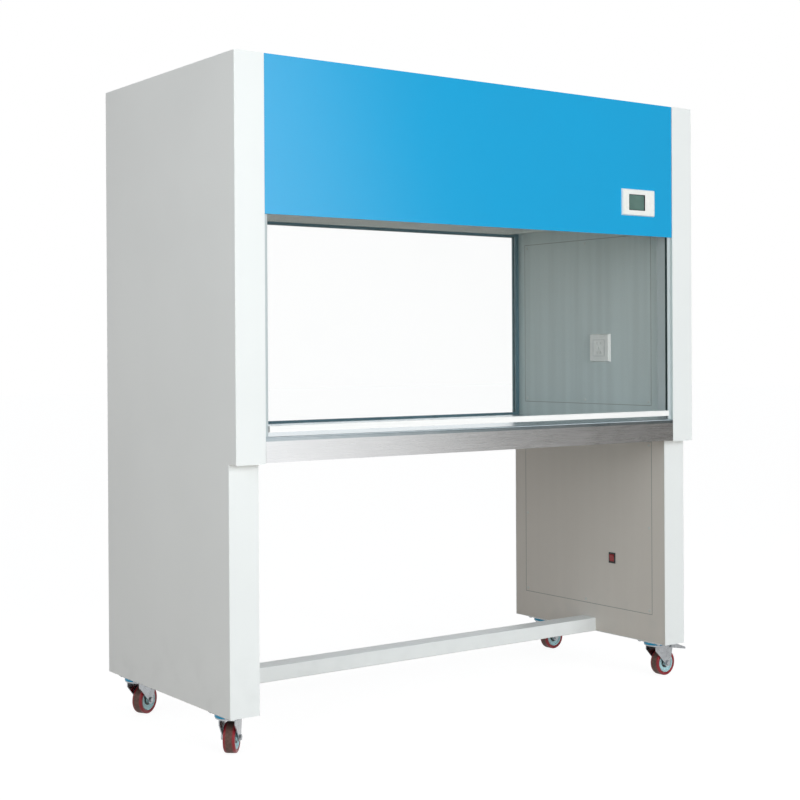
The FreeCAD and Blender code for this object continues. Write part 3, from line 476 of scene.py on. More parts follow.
@dataclass(frozen=True)
class Moulded(Skin):
    """A moulded plastic.

    Attributes:
        roughness: how rough its skin is.
        relief: how deep the mould's spark-eroded texture is, in metres.
        texture: how many grains of it a metre.
    """

    roughness: float = 0.35
    relief: float = 0.00001
    texture: float = 1400.0

    def sockets(self, paint: Paint) -> Dict[str, Any]:
        """A fine moulded texture with a faint flow of tone.

        Args:
            paint: the material that is being made.

        Returns:
            What goes into the shader's sockets, by their names.
        """
        flow = paint.noise(28.0, 2.0)
        return dict(
            Base_Color=self.mottled(flow, 0.35, 0.7, 0.88, 0.5),
            Roughness=self.roughness + (flow - 0.5) * 0.1,
            Normal=paint.bumped(paint.noise(self.texture, 1.0), self.relief),
        )


@dataclass(frozen=True)
class Pane(Skin):
    """Clear sheet glass with a faint green tint.

    Attributes:
        body: how much of its colour shows when looked through.
    """

    body: float = 0.006

    def sockets(self, paint: Paint) -> Dict[str, Any]:
        """A pane that shows more at a grazing look, and a little dust.

        Args:
            paint: the material that is being made.

        Returns:
            What goes into the shader's sockets, by their names.
        """
        edge = paint.out("ShaderNodeLayerWeight", {}, {"Blend": 0.5}, "Facing").power(3.0)
        dust = paint.noise(5.0, 5.0).ramp(0.45, 0.85)
        return dict(
            Base_Color=self.colour,
            Roughness=0.02 + dust * 0.04,
            Alpha=(edge * 0.5 + self.body + dust * 0.004).clipped(),
            IOR=1.5,
        )


@dataclass(frozen=True)
class Tread(Skin):
    """The cast polyurethane tyre of a caster, whose colour is that of its flanks.

    Attributes:
        band: the colour of the running surface, rubbed and dusty.
    """

    band: Colour

    def sockets(self, paint: Paint) -> Dict[str, Any]:
        """Clean flanks, and a scuffed running surface.

        Args:
            paint: the material that is being made.

        Returns:
            What goes into the shader's sockets, by their names.
        """
        scuff = paint.noise(160.0, 5.0)
        flow = paint.noise(40.0, 2.0)
        worn = paint.out("ShaderNodeAttribute", {"attribute_name": "running"}, {}, "Fac")
        rubbed = paint.mix(scuff.ramp(0.35, 0.7), self.band, shade(self.band, 0.6))
        return dict(
            Base_Color=paint.mix(worn, self.mottled(flow, 0.3, 0.7, 0.8), rubbed),
            Roughness=0.34 + worn * 0.3 + (scuff - 0.5) * 0.2,
            Normal=paint.bumped(scuff, 0.00008),
        )


@dataclass(frozen=True)
class Paper(Skin):
    """Filter paper, pleated or as a fibre pad.

    Attributes:
        fibre: how many fibres a metre.
    """

    fibre: float = 900.0

    def sockets(self, paint: Paint) -> Dict[str, Any]:
        """Felted fibres with lighter and darker tufts.

        Args:
            paint: the material that is being made.

        Returns:
            What goes into the shader's sockets, by their names.
        """
        felt = paint.noise(self.fibre, 5.0, (1.0, 0.35, 1.0))
        tufts = paint.noise(60.0, 3.0)
        return dict(
            Base_Color=self.mottled(tufts, 0.3, 0.7, 0.85),
            Roughness=0.92,
            Normal=paint.bumped(felt, 0.0003),
        )


@dataclass(frozen=True)
class Mesh(Skin):
    """A perforated screen: round holes in rows, whose shade is painted as darker spots.

    Attributes:
        pitch: the distance between the holes' centres, in metres.
    """

    pitch: float = 0.008

    def sockets(self, paint: Paint) -> Dict[str, Any]:
        """Rows of holes with painted shade in them, and a bright rim.

        Args:
            paint: the material that is being made.

        Returns:
            What goes into the shader's sockets, by their names.
        """
        across = paint.at("X").saw(self.pitch)
        along = paint.at("Y").saw(self.pitch)
        reach = (across * across + along * along).power(0.5)
        # the holes' relief, which also masks the painted shade in them
        hole_relief_and_shade = reach.ramp(self.pitch * 0.34, self.pitch * 0.30)
        tone = self.mottled(paint.noise(9.0, 3.0), 0.3, 0.7, 0.92)
        return dict(
            # painted shade in the holes
            Base_Color=paint.mix(hole_relief_and_shade, tone, shade(self.colour, 0.5)),
            Roughness=0.5,
            Normal=paint.bumped(1.0 - hole_relief_and_shade, 0.0006),
        )


@dataclass(frozen=True)
class Tube(Skin):
    """The frosted glass of a lamp tube."""

    def sockets(self, paint: Paint) -> Dict[str, Any]:
        """A milky coat inside a smooth tube."""
        milk = paint.noise(30.0, 3.0, (0.2, 1.0, 1.0))
        return dict(Base_Color=self.mottled(milk, 0.3, 0.7, 0.93), Roughness=0.12 + milk * 0.08)


@dataclass(frozen=True)
class Screen(Skin):
    """The liquid crystal screen of the display, switched off."""

    def sockets(self, paint: Paint) -> Dict[str, Any]:
        """A glossy window over a grey-green cell with faint rows.

        Args:
            paint: the material that is being made.

        Returns:
            What goes into the shader's sockets, by their names.
        """
        rows = paint.at("Z").saw(0.0006).ramp(0.0, 0.0003)
        tone = self.mottled(paint.noise(24.0, 2.0), 0.3, 0.7, 0.8)
        return dict(
            Base_Color=paint.mix(rows * 0.12, tone, shade(self.colour, 0.6)),
            Roughness=0.16,
            Coat_Weight=0.6,
            Coat_Roughness=0.03,
        )


class Finish(Enum):
    """Every finish on the cabinet."""

    WHITE = Coat("white_powder_coat", srgb(236, 239, 239), 0.42)
    GREY = Coat("grey_powder_coat", srgb(230, 233, 231), 0.45)
    BLUE = Coat("blue_gloss_coat", srgb(24, 167, 222), 0.2, 0.00002, 0.8)
    # a flat dark teal for the rear glass frame
    TEAL = Coat("dark_anodised_frame", srgb(88, 118, 130), 0.3)
    # the liner's green-grey, darker than the outer white, is painted shade with the glass's tint; under
    # the worktop it turns to painted warm bounce light
    LINER = Liner("liner_powder_coat", srgb(207, 218, 218), 0.42, streaks=0.5)
    GUIDE = Coat("guide_coat", srgb(192, 201, 204), 0.4)
    # the tray's cooler colour above the apron is a painted reflection of the chamber
    STAINLESS = Tray("brushed_stainless", srgb(240, 242, 244), (1.2, 260.0, 260.0), 0.28)
    GALVANISED = Plated("galvanised_sheet", srgb(190, 194, 196), 0.42, 60.0)
    ZINC = Plated("zinc_plate", srgb(178, 182, 186), 0.3)
    ANODISED = Brushed("anodised_aluminium", srgb(232, 234, 235), (1.0, 300.0, 300.0), 0.28)
    HANDLE = Brushed("matt_anodised_rail", srgb(254, 254, 253), (1.0, 300.0, 300.0), 0.42, 0.00001, 0.0)
    CAST = Plated("cast_iron", srgb(78, 80, 82), 0.6, 140.0, 0.0002, 0.7)
    WIRE = Brushed("steel_wire", srgb(190, 192, 194), (500.0, 500.0, 60.0), 0.3, 0.00005)
    GLASS = Pane("clear_glass_pane", srgb(190, 222, 214))
    TUBE = Tube("frosted_tube", srgb(243, 244, 242))
    SCREEN = Screen("display_screen", srgb(104, 134, 126))
    WHITE_PLASTIC = Moulded("white_plastic_moulding", srgb(244, 244, 241), 0.28)
    BLACK_PLASTIC = Moulded("black_plastic_moulding", srgb(26, 27, 29), 0.42, 0.00002)
    RUNNER_PLASTIC = Moulded("runner_plastic_moulding", srgb(38, 62, 66), 0.4)
    GASKET = Moulded("panel_gasket", srgb(146, 151, 148), 0.6, 0.00002)
    GREY_PLASTIC = Moulded("grey_plastic_moulding", srgb(164, 168, 170), 0.45)
    RED_PLASTIC = Moulded("red_rocker_plastic", srgb(150, 22, 26), 0.36)
    BLUE_PLASTIC = Moulded("blue_seal_plastic", srgb(0, 152, 196), 0.35)
    HUB_PLASTIC = Moulded("wheel_core_plastic", srgb(172, 208, 213), 0.36)
    NYLON = Moulded("pulley_nylon", srgb(226, 226, 216), 0.4)
    TYRE = Tread("caster_tyre", srgb(142, 18, 32), srgb(98, 72, 64))
    PAPER = Paper("filter_paper", srgb(238, 237, 228))
    FELT = Paper("prefilter_felt", srgb(214, 219, 222), 380.0)
    HOLED = Mesh("perforated_screen", srgb(250, 253, 250))
    STEEL = Plated("bolt_steel", srgb(178, 182, 186), 0.28, 220.0)
    BRASS = Plated("contact_brass", srgb(196, 164, 92), 0.35, 300.0)
    # the screws' tone is the liner's, darker than the outer white as painted shade
    WHITE_SCREW = Coat("painted_screw", srgb(210, 213, 210), 0.4)

    @lru_cache(maxsize=None)
    def material(self) -> Any:
        """Give the finish's material, made the first time it is asked for."""
        return self.value.make()


CORNERS = ("front_left", "front_right", "rear_left", "rear_right")
CAD_FINISHES: Dict[Finish, Tuple[str, ...]] = {
    Finish.WHITE: ("left_side_shell", "right_side_shell", "foot_crossbar", "hood_top_cover",
                   "hood_rear_panel"),
    Finish.LINER: ("left_inner_liner", "right_inner_liner", "chamber_access_panel", "leg_access_panel"),
    Finish.BLUE: ("front_panel",),
    Finish.GREY: ("ceiling_panel",),
    Finish.STAINLESS: ("worktop",),
    Finish.GALVANISED: ("worktop_frame", "plenum_box", "inlet_nozzles"),
    Finish.ZINC: ("fan_motors", "pulley_brackets", "caster_plates", "front_left_brake_pedal",
                  "front_right_brake_pedal", *(corner + "_fork" for corner in CORNERS)),
    Finish.TEAL: ("rear_glass_frame",),
    Finish.GUIDE: ("sash_guides",),
    Finish.RUNNER_PLASTIC: ("sash_runners",),
    Finish.GLASS: ("rear_glass", "sash_glass"),
    Finish.TUBE: ("lamp_tubes",),
    Finish.HANDLE: ("sash_handle",),
    Finish.ANODISED: ("hepa_frame", "left_impeller", "right_impeller"),
    Finish.HOLED: ("diffuser_screen",),
    Finish.PAPER: ("hepa_pleats",),
    Finish.FELT: ("prefilters",),
    Finish.WHITE_PLASTIC: ("lamp_fittings", "display_bezel", "socket_plate"),
    Finish.SCREEN: ("display_screen",),
    Finish.GREY_PLASTIC: ("control_box",),
    Finish.BLACK_PLASTIC: ("power_gland", "switch_housing"),
    Finish.RED_PLASTIC: ("switch_rocker",),
    Finish.BLUE_PLASTIC: ("caster_seal_rings",),
    Finish.HUB_PLASTIC: tuple(corner + "_wheel_core" for corner in CORNERS),
    Finish.TYRE: tuple(corner + "_tyre" for corner in CORNERS),
    Finish.WIRE: ("sash_wires",),
    Finish.NYLON: ("left_pulley", "right_pulley"),
    Finish.CAST: ("left_counterweight", "right_counterweight"),
}


def dress_cad_nodes() -> None:
    """Give each CAD node the material of its finish."""
    nodes = {node["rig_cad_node"]: node for node in bpy.context.scene.objects if "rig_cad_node" in node}
    for finish, names in CAD_FINISHES.items():
        for name in names:
            node = nodes.pop(name)
            node.data.materials.clear()
            node.data.materials.append(finish.material())
        log.info("%s on %d nodes", finish.value.name, len(names))
    if nodes:
        log.warning("no finish for %s", sorted(nodes))


def corners(node: str) -> Tuple[Vector, Vector]:
    """Give the low and the high corner of a node's box."""
    low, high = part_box(node)
    return Vector(low), Vector(high)


def middle(node: str) -> Vector:
    """Give the centre of a node's box."""
    low, high = corners(node)
    return (low + high) / 2.0


class Bench:
    """The hand tools that every piece is modelled with."""

    @staticmethod
    def clear() -> None:
        """Deselect everything."""
        bpy.ops.object.select_all(action="DESELECT")

    @staticmethod
    def drum(radius: float, length: float, place: Point, turn: Point = (0.0, 0.0, 0.0),
             sides: int = 48) -> Any:
        """Add a closed cylinder.

        Args:
            radius, length: its size, in metres.
            place: its centre.
            turn: its rotation; its axis is along Z before that.
            sides: how many sides it has.

        Returns:
            The object.
        """
        Bench.clear()
        bpy.ops.mesh.primitive_cylinder_add(vertices=sides, radius=radius, depth=length,
                                            location=place, rotation=turn)
        return bpy.context.object

    @staticmethod
    def block(size: Point, place: Point) -> Any:
        """Add a block, its scale applied.

        Args:
            size: its size on each axis, in metres.
            place: its centre.

        Returns:
            The object.
        """
        Bench.clear()
        bpy.ops.mesh.primitive_cube_add(size=1.0, location=place, scale=size)
        bpy.ops.object.transform_apply(location=False, rotation=False, scale=True)
        return bpy.context.object

    @staticmethod
    def ring(size: Point, place: Point, axis: int, width: float) -> Any:
        """Add a rectangular frame.

        Args:
            size: its outer size.
            place: its centre.
            axis: the axis that its opening runs along, 0 to 2.
            width: how wide its sides are, in metres.

        Returns:
            The object.
        """
        piece = Bench.block(size, place)
        Bench.hollow(piece, axis, width)
        return piece

    @staticmethod
    def hollow(piece: Any, axis: int, width: float) -> None:
        """Open a piece right through.

        Args:
            piece: the object.
            axis: the axis that the opening runs along, 0 to 2.
            width: how wide the walls stay, in metres.
        """
        Bench.pick(piece, lambda face: abs(face.normal[axis]) > 0.9)
        Bench.inset(width)
        bpy.ops.mesh.delete(type="FACE")
        Bench.bridge(piece)

    @staticmethod
    def bridge(piece: Any) -> None:
        """Close a piece between its two open rims, and leave edit mode.

        Args:
            piece: the object.
        """
        Bench.pick(piece, lambda edge: edge.is_boundary, "EDGE")
        bpy.ops.mesh.bridge_edge_loops()
        Bench.close()

    @staticmethod
    def pick(piece: Any, wanted: Callable[[Any], bool], kind: str = "FACE") -> None:
        """Open a piece in edit mode with only some elements selected.

        Args:
            piece: the object.
            wanted: whether a face or an edge is to be selected.
            kind: FACE or EDGE.
        """
        bpy.context.view_layer.objects.active = piece
        piece.select_set(True)
        if bpy.context.mode != "EDIT_MESH":
            bpy.ops.object.mode_set(mode="EDIT")
        bpy.ops.mesh.select_mode(type=kind)
        bpy.ops.mesh.select_all(action="DESELECT")
        mesh = bmesh.from_edit_mesh(piece.data)
        for element in (mesh.faces if kind == "FACE" else mesh.edges):
            if wanted(element):
                element.select_set(True)
        mesh.select_flush_mode()
        bmesh.update_edit_mesh(piece.data)

    @staticmethod
    def close() -> None:
        """Leave edit mode."""
        bpy.ops.object.mode_set(mode="OBJECT")

    @staticmethod
    def inset(thickness: float) -> None:
        """Inset the selected faces."""
        bpy.ops.mesh.inset(thickness=thickness, depth=0.0)

    @staticmethod
    def push(distance: Point) -> None:
        """Extrude the selected faces by a distance."""
        bpy.ops.mesh.extrude_region_move(TRANSFORM_OT_translate={"value": distance})

    @staticmethod
    def joined(name: str, parts: Sequence[Any]) -> Any:
        """Join pieces into one.

        Args:
            name: the name of the result.
            parts: the objects; the first one takes the others in.

        Returns:
            The joined object.
        """
        Bench.clear()
        for part in parts:
            part.select_set(True)
        bpy.context.view_layer.objects.active = parts[0]
        if len(parts) > 1:
            bpy.ops.object.join()
        parts[0].name = name
        return parts[0]

    @staticmethod
    def copied(source: Any, place: Point, turn: Point = (0.0, 0.0, 0.0)) -> Any:
        """Copy a piece that was modelled at the origin, with its own mesh.

        Args:
            source: the piece.
            place: where the copy goes.
            turn: its rotation.

        Returns:
            The copy.
        """
        twin = source.copy()
        twin.data = source.data.copy()
        bpy.context.scene.collection.objects.link(twin)
        Bench.place(twin, place, turn)
        return twin

    @staticmethod
    def place(piece: Any, where: Point, turn: Point) -> None:
        """Move a piece from the origin to a place, with a turn."""
        piece.matrix_world = Matrix.Translation(where) @ Euler(turn).to_matrix().to_4x4()

    @staticmethod
    def bevelled(piece: Any, width: float, segments: int = 2, angle: float = 30.0) -> None:
        """Round the sharp edges of a piece with a bevel that is applied.

        Args:
            piece: the object.
            width: how wide the bevel is, in metres.
            segments: how many faces it has.
            angle: the angle from which an edge counts as sharp, in degrees.
        """
        Bench.clear()
        piece.select_set(True)
        bpy.context.view_layer.objects.active = piece
        bevel = piece.modifiers.new("edge_rounding", "BEVEL")
        bevel.width, bevel.segments = width, segments
        bevel.limit_method, bevel.angle_limit = "ANGLE", math.radians(angle)
        bpy.ops.object.modifier_apply(modifier=bevel.name)

    @staticmethod
    def done(piece: Any, name: str, finish: "Finish", body: str, slot: str,
             smooth: float = 35.0) -> None:
        """Settle a piece: its place goes into its mesh, and it gets its finish and its body.

        Args:
            piece: the object.
            name: its name.
            finish: its finish.
            body: the body that it rides on; empty where it rides on none.
            slot: the record's material slot; not used.
            smooth: the angle up to which faces are shaded as one, in degrees.
        """
        Bench.clear()
        piece.select_set(True)
        bpy.context.view_layer.objects.active = piece
        bpy.ops.object.transform_apply(location=True, rotation=True, scale=True)
        bpy.ops.object.shade_smooth_by_angle(angle=math.radians(smooth))
        piece.name = name
        piece.data.name = name
        piece.data.materials.clear()
        piece.data.materials.append(finish.material())
        if body:
            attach(piece, body)
        log.info("%s: %d faces", name, len(piece.data.polygons))


class Side(Enum):
    """The two sides of the cabinet, with the sign of their X."""

    LEFT = -1
    RIGHT = 1

    @property
    def word(self) -> str:
        """The side's name as the nodes have it."""
        return self.name.lower()


@dataclass
class Screws:
    """Screws that hold the access panels and the hood's rear panel.

    Attributes:
        radius: of a screw's head, in metres.
        height: of a screw's head.
        recess: the share of the head that its socket takes.
        margin: how far a screw's centre is from its sheet's edge.
        shoulder, lip: how wide the sloping shoulder and the socket's lip are, as shares of the radius.
        dome, depth: how high the dome and how deep the socket is, as shares of the height.
        taper: how much narrower the socket is at its foot.
    """

    radius: float = 0.0040
    height: float = 0.0014
    recess: float = 0.55
    margin: float = 0.010
    shoulder: float = 0.22
    lip: float = 0.06
    dome: float = 0.35
    depth: float = 0.7
    taper: float = 0.86

    def head(self) -> Any:
        """Model one domed head with a socket.

        Returns:
            The head, its seat at the origin and its top towards +Z.
        """
        piece = Bench.drum(self.radius, self.height, (0.0, 0.0, self.height / 2.0), sides=16)
        bpy.ops.object.transform_apply(location=True)
        Bench.pick(piece, lambda face: face.normal.z > 0.9)
        Bench.inset(self.radius * self.shoulder)
        bpy.ops.transform.translate(value=(0.0, 0.0, self.height * self.dome))
        Bench.inset(self.radius * (1.0 - self.recess) * 0.5)
        Bench.inset(self.radius * self.lip)
        Bench.push((0.0, 0.0, -self.height * self.depth))
        bpy.ops.transform.resize(value=(self.taper, self.taper, 1.0))
        Bench.close()
        return piece

    def row(self, name: str, places: Sequence[Point], turn: Point, finish: Finish, slot: str) -> None:
        """Set screws in their places as one piece on the fixed body.

        Args:
            name: the piece's name.
            places: their seats.
            turn: the turn that points their tops outwards.
            finish: their finish.
            slot: the record's slot.
        """
        source = self.head()
        parts = [Bench.copied(source, place, turn) for place in places]
        bpy.data.objects.remove(source)
        Bench.done(Bench.joined(name, parts), name, finish, "root", slot)

    def around(self, low: Vector, high: Vector, axes: Tuple[int, int], counts: Tuple[int, int],
               level: float) -> List[Point]:
        """Places along the rim of a sheet.

        Args:
            low, high: the corners of the sheet's box.
            axes: the two axes that the sheet spans.
            counts: how many screws along each of them.
            level: the seats' place along the third axis.

        Returns:
            The places, each once.
        """
        first, second = axes
        third = 3 - first - second
        found = []
        ends = [(low[a] + self.margin, high[a] - self.margin) for a in axes]
        for i in range(counts[0]):
            for j in range(counts[1]):
                if 0 < i < counts[0] - 1 and 0 < j < counts[1] - 1:
                    continue
                place = [0.0, 0.0, 0.0]
                place[first] = ends[0][0] + (ends[0][1] - ends[0][0]) * i / (counts[0] - 1)
                place[second] = ends[1][0] + (ends[1][1] - ends[1][0]) * j / (counts[1] - 1)
                place[third] = level
                found.append(tuple(place))
        return found

    def build(self) -> None:
        """Put the screws on the access panels and the rear panel."""
        quarter = math.pi / 2.0
        for node, counts in (("chamber_access_panel", (3, 2)), ("leg_access_panel", (3, 3))):
            low, high = corners(node)
            places = self.around(low, high, (1, 2), counts, low.x)
            self.row(node + "_screws", places, (0.0, -quarter, 0.0), Finish.WHITE_SCREW, "white_coat")
        low, high = corners("hood_rear_panel")
        places = self.around(low, high, (0, 2), (7, 2), high.y)
        self.row("rear_panel_screws", places, (-quarter, 0.0, 0.0), Finish.STEEL, "zinc_steel")


@dataclass
class Gaskets:
    """The dark gaskets round the two access panels.

    Attributes:
        width: how wide a gasket is, in metres.
        proud: how far it stands out of the wall.
        depth: how thick it is.
        overlap: how far it reaches over the panel.
        rounding: the bevel of its edges.
    """

    overlap: float = 0.0004
    width: float = 0.0016
    proud: float = 0.0003
    depth: float = 0.0012
    rounding: float = 0.0001

    def build(self) -> None:
        """Lay one gasket round each panel, over the gap at its edge."""
        rings = []
        for node in ("chamber_access_panel", "leg_access_panel"):
            low, high = corners(node)
            reach = self.width - self.overlap
            size = (self.depth, high.y - low.y + 2.0 * reach, high.z - low.z + 2.0 * reach)
            place = (low.x - self.proud + self.depth / 2.0, *((low + high) / 2.0)[1:])
            ring = Bench.ring(size, place, 0, self.width)
            Bench.bevelled(ring, self.rounding, 1)
            rings.append(ring)
        gaskets = Bench.joined("panel_gaskets", rings)
        Bench.done(gaskets, gaskets.name, Finish.GASKET, "root", "grey_plastic")


@dataclass
class Caster:
    """The finer tyre, wheel core and bolts of one caster.

    Attributes:
        corner: the corner's name, as its nodes have it.
        heading: how far the axle is turned from Y, in radians.
        sides: how many sides its round pieces have.
        tyre_half, tyre_depth: half the tyre's width, and its thickness, in metres.
        tyre_edge: the radius of the tyre's shoulders.
        worn: how far the rubbed band of the running surface reaches from its middle.
        worn_within: how far under the surface, and past the band, a point still counts as rubbed.
        rim, rim_half, rim_wall: the radius, half the width and the wall of the core's rim.
        web: how far the web's faces are from the wheel's middle plane.
        web_share: where the web begins, as a share of the rim's radius.
        dish: how much the dish narrows down to the web.
        boss, boss_half, boss_taper: the hub's radius, half its length and how much it narrows.
        bore: the radius of the axle's hole.
        core_edge: the bevel of the core's edges.
        ring, ring_bore, ring_height: the outer and the inner radius and half the height of a dark ring
            that is painted shade round the hub.
        ring_lift: how far such a ring stands off the web, as a share of that height.
        ring_edge: the bevel of such a ring's edges.
        plate_bolts: the bolts' places from the swivel's axis, on X and Y.
        washer, bolt_head: the radius and the height of each.
    """

    corner: str
    heading: float
    sides: int = 96
    tyre_half: float = 0.015
    tyre_depth: float = 0.0095
    tyre_edge: float = 0.004
    worn: float = 0.0065
    worn_within: Tuple[float, float] = (0.0007, 0.0005)
    rim: float = 0.0279
    rim_half: float = 0.014
    rim_wall: float = 0.0035
    web: float = 0.010
    web_share: float = 0.83
    dish: float = 0.95
    boss: float = 0.010
    boss_half: float = 0.0165
    boss_taper: float = 0.9
    bore: float = 0.0041
    core_edge: float = 0.0006
    ring: float = 0.0146
    ring_bore: float = 0.0102
    ring_height: float = 0.0012
    ring_lift: float = 0.4
    ring_edge: float = 0.0005
    plate_bolts: Tuple[float, float] = (0.027, 0.038)
    washer: Tuple[float, float] = (0.0062, 0.0008)
    bolt_head: Tuple[float, float] = (0.0048, 0.0026)

    @property
    def turn(self) -> Point:
        """The turn that lays a drum's axis along the axle."""
        return (math.pi / 2.0, 0.0, self.heading)

    def tyre(self) -> None:
        """Model the tyre: a ring with round shoulders and a scuffed running surface."""
        node = self.corner + "_tyre"
        low, high = corners(node)
        outer = (high.z - low.z) / 2.0
        bore = outer - self.tyre_depth
        piece = Bench.drum(outer, 2.0 * self.tyre_half, (0.0, 0.0, 0.0), sides=self.sides)
        for height in (-self.worn, self.worn):
            Bench.pick(piece, lambda face: True)
            bpy.ops.mesh.bisect(plane_co=(0.0, 0.0, height), plane_no=(0.0, 0.0, 1.0))
        Bench.hollow(piece, 2, outer - bore)
        Bench.bevelled(piece, self.tyre_edge, 4)
        running = piece.data.attributes.new("running", "FLOAT", "POINT")
        under, past = self.worn_within
        for index, vertex in enumerate(piece.data.vertices):
            on_top = math.hypot(vertex.co.x, vertex.co.y) > outer - under
            running.data[index].value = float(on_top and abs(vertex.co.z) < self.worn + past)
        Bench.place(piece, middle(node), self.turn)
        Bench.done(piece, node + "_moulded", Finish.TYRE, self.corner + "_wheel", "tread", 50.0)
        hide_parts(node)

    def core(self) -> None:
        """Model the wheel core: rim, dished web and hub on each side, with soft edges."""
        node = self.corner + "_wheel_core"
        piece = Bench.drum(self.rim, 2.0 * self.rim_half, (0.0, 0.0, 0.0), sides=self.sides)
        for side in (1.0, -1.0):
            Bench.pick(piece, lambda face: face.normal.z * side > 0.9)
            Bench.inset(self.rim_wall)
            Bench.push((0.0, 0.0, -side * (self.rim_half - self.web)))
            bpy.ops.transform.resize(value=(self.dish, self.dish, 1.0))
            Bench.inset(self.rim * self.web_share - self.boss)
            Bench.push((0.0, 0.0, side * (self.boss_half - self.web)))
            bpy.ops.transform.resize(value=(self.boss_taper, self.boss_taper, 1.0))
            Bench.inset(self.boss * self.boss_taper - self.bore)
            bpy.ops.mesh.delete(type="FACE")
        Bench.bridge(piece)
        Bench.bevelled(piece, self.core_edge, 2)
        Bench.place(piece, middle(node), self.turn)
        Bench.done(piece, node + "_moulded", Finish.HUB_PLASTIC, self.corner + "_wheel", "hub_plastic")
        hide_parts(node)

    def hub_shade_rings(self) -> None:
        """Model dark rings round the hub, one on each side, as painted shade in the gaps round the axle.
        """
        rings = []
        for side in (1.0, -1.0):
            place = (0.0, 0.0, side * (self.web + self.ring_height * self.ring_lift))
            ring = Bench.drum(self.ring, 2.0 * self.ring_height, place, sides=64)
            bpy.ops.object.transform_apply(location=True)
            Bench.hollow(ring, 2, self.ring - self.ring_bore)
            Bench.bevelled(ring, self.ring_edge, 2)
            rings.append(ring)
        name = self.corner + "_dust_rings"
        piece = Bench.joined(name, rings)
        Bench.place(piece, middle(self.corner + "_wheel_core"), self.turn)
        # black rings that stand for the shade in the gaps round the hub
        Bench.done(piece, name, Finish.BLACK_PLASTIC, self.corner + "_wheel", "black_plastic")

    def bolts(self, swivel: Vector, seat: float) -> List[Any]:
        """Model the four bolts that hold the caster's plate to the leg.

        Args:
            swivel: the swivel's axis.
            seat: the height of the plate's lower face.

        Returns:
            The bolts' heads, not yet joined.
        """
        heads = []
        for dx in (-1.0, 1.0):
            for dy in (-1.0, 1.0):
                place = (swivel.x + dx * self.plate_bolts[0], swivel.y + dy * self.plate_bolts[1], seat)
                radius, thick = self.washer
                washer = Bench.drum(radius, thick, (*place[:2], seat - thick / 2.0), sides=24)
                radius, height = self.bolt_head
                head = Bench.drum(radius, height, (*place[:2], seat - thick - height / 2.0), sides=6)
                Bench.bevelled(head, SMALL_EDGE, 1)
                heads += [washer, head]
        return heads

    def build(self) -> None:
        """Build the caster's moulded pieces."""
        self.tyre()
        self.core()
        self.hub_shade_rings()


@dataclass
class Casters:
    """The four casters with the bolts of their plates.

    Attributes:
        corners: the corners' names, as their nodes have them.
        plate: how thick the plates are, in metres.
    """

    corners: Tuple[str, ...] = CORNERS
    plate: float = 0.003

    def build(self) -> None:
        """Build each caster, then all the plate bolts as one piece."""
        heads: List[Any] = []
        joints = {joint["name"]: joint for joint in frame["joints"]}
        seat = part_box("caster_plates")[1][2] - self.plate
        for corner in self.corners:
            axle = joints[corner + "_roll"]["axis"]
            caster = Caster(corner, math.atan2(-axle[0], axle[1]))
            caster.build()
            swivel = Vector(joints[corner + "_swivel"]["pos_m"])
            heads += caster.bolts(swivel, seat)
        Bench.done(Bench.joined("caster_plate_bolts", heads), "caster_plate_bolts", Finish.STEEL, "root",
                   "zinc_steel")


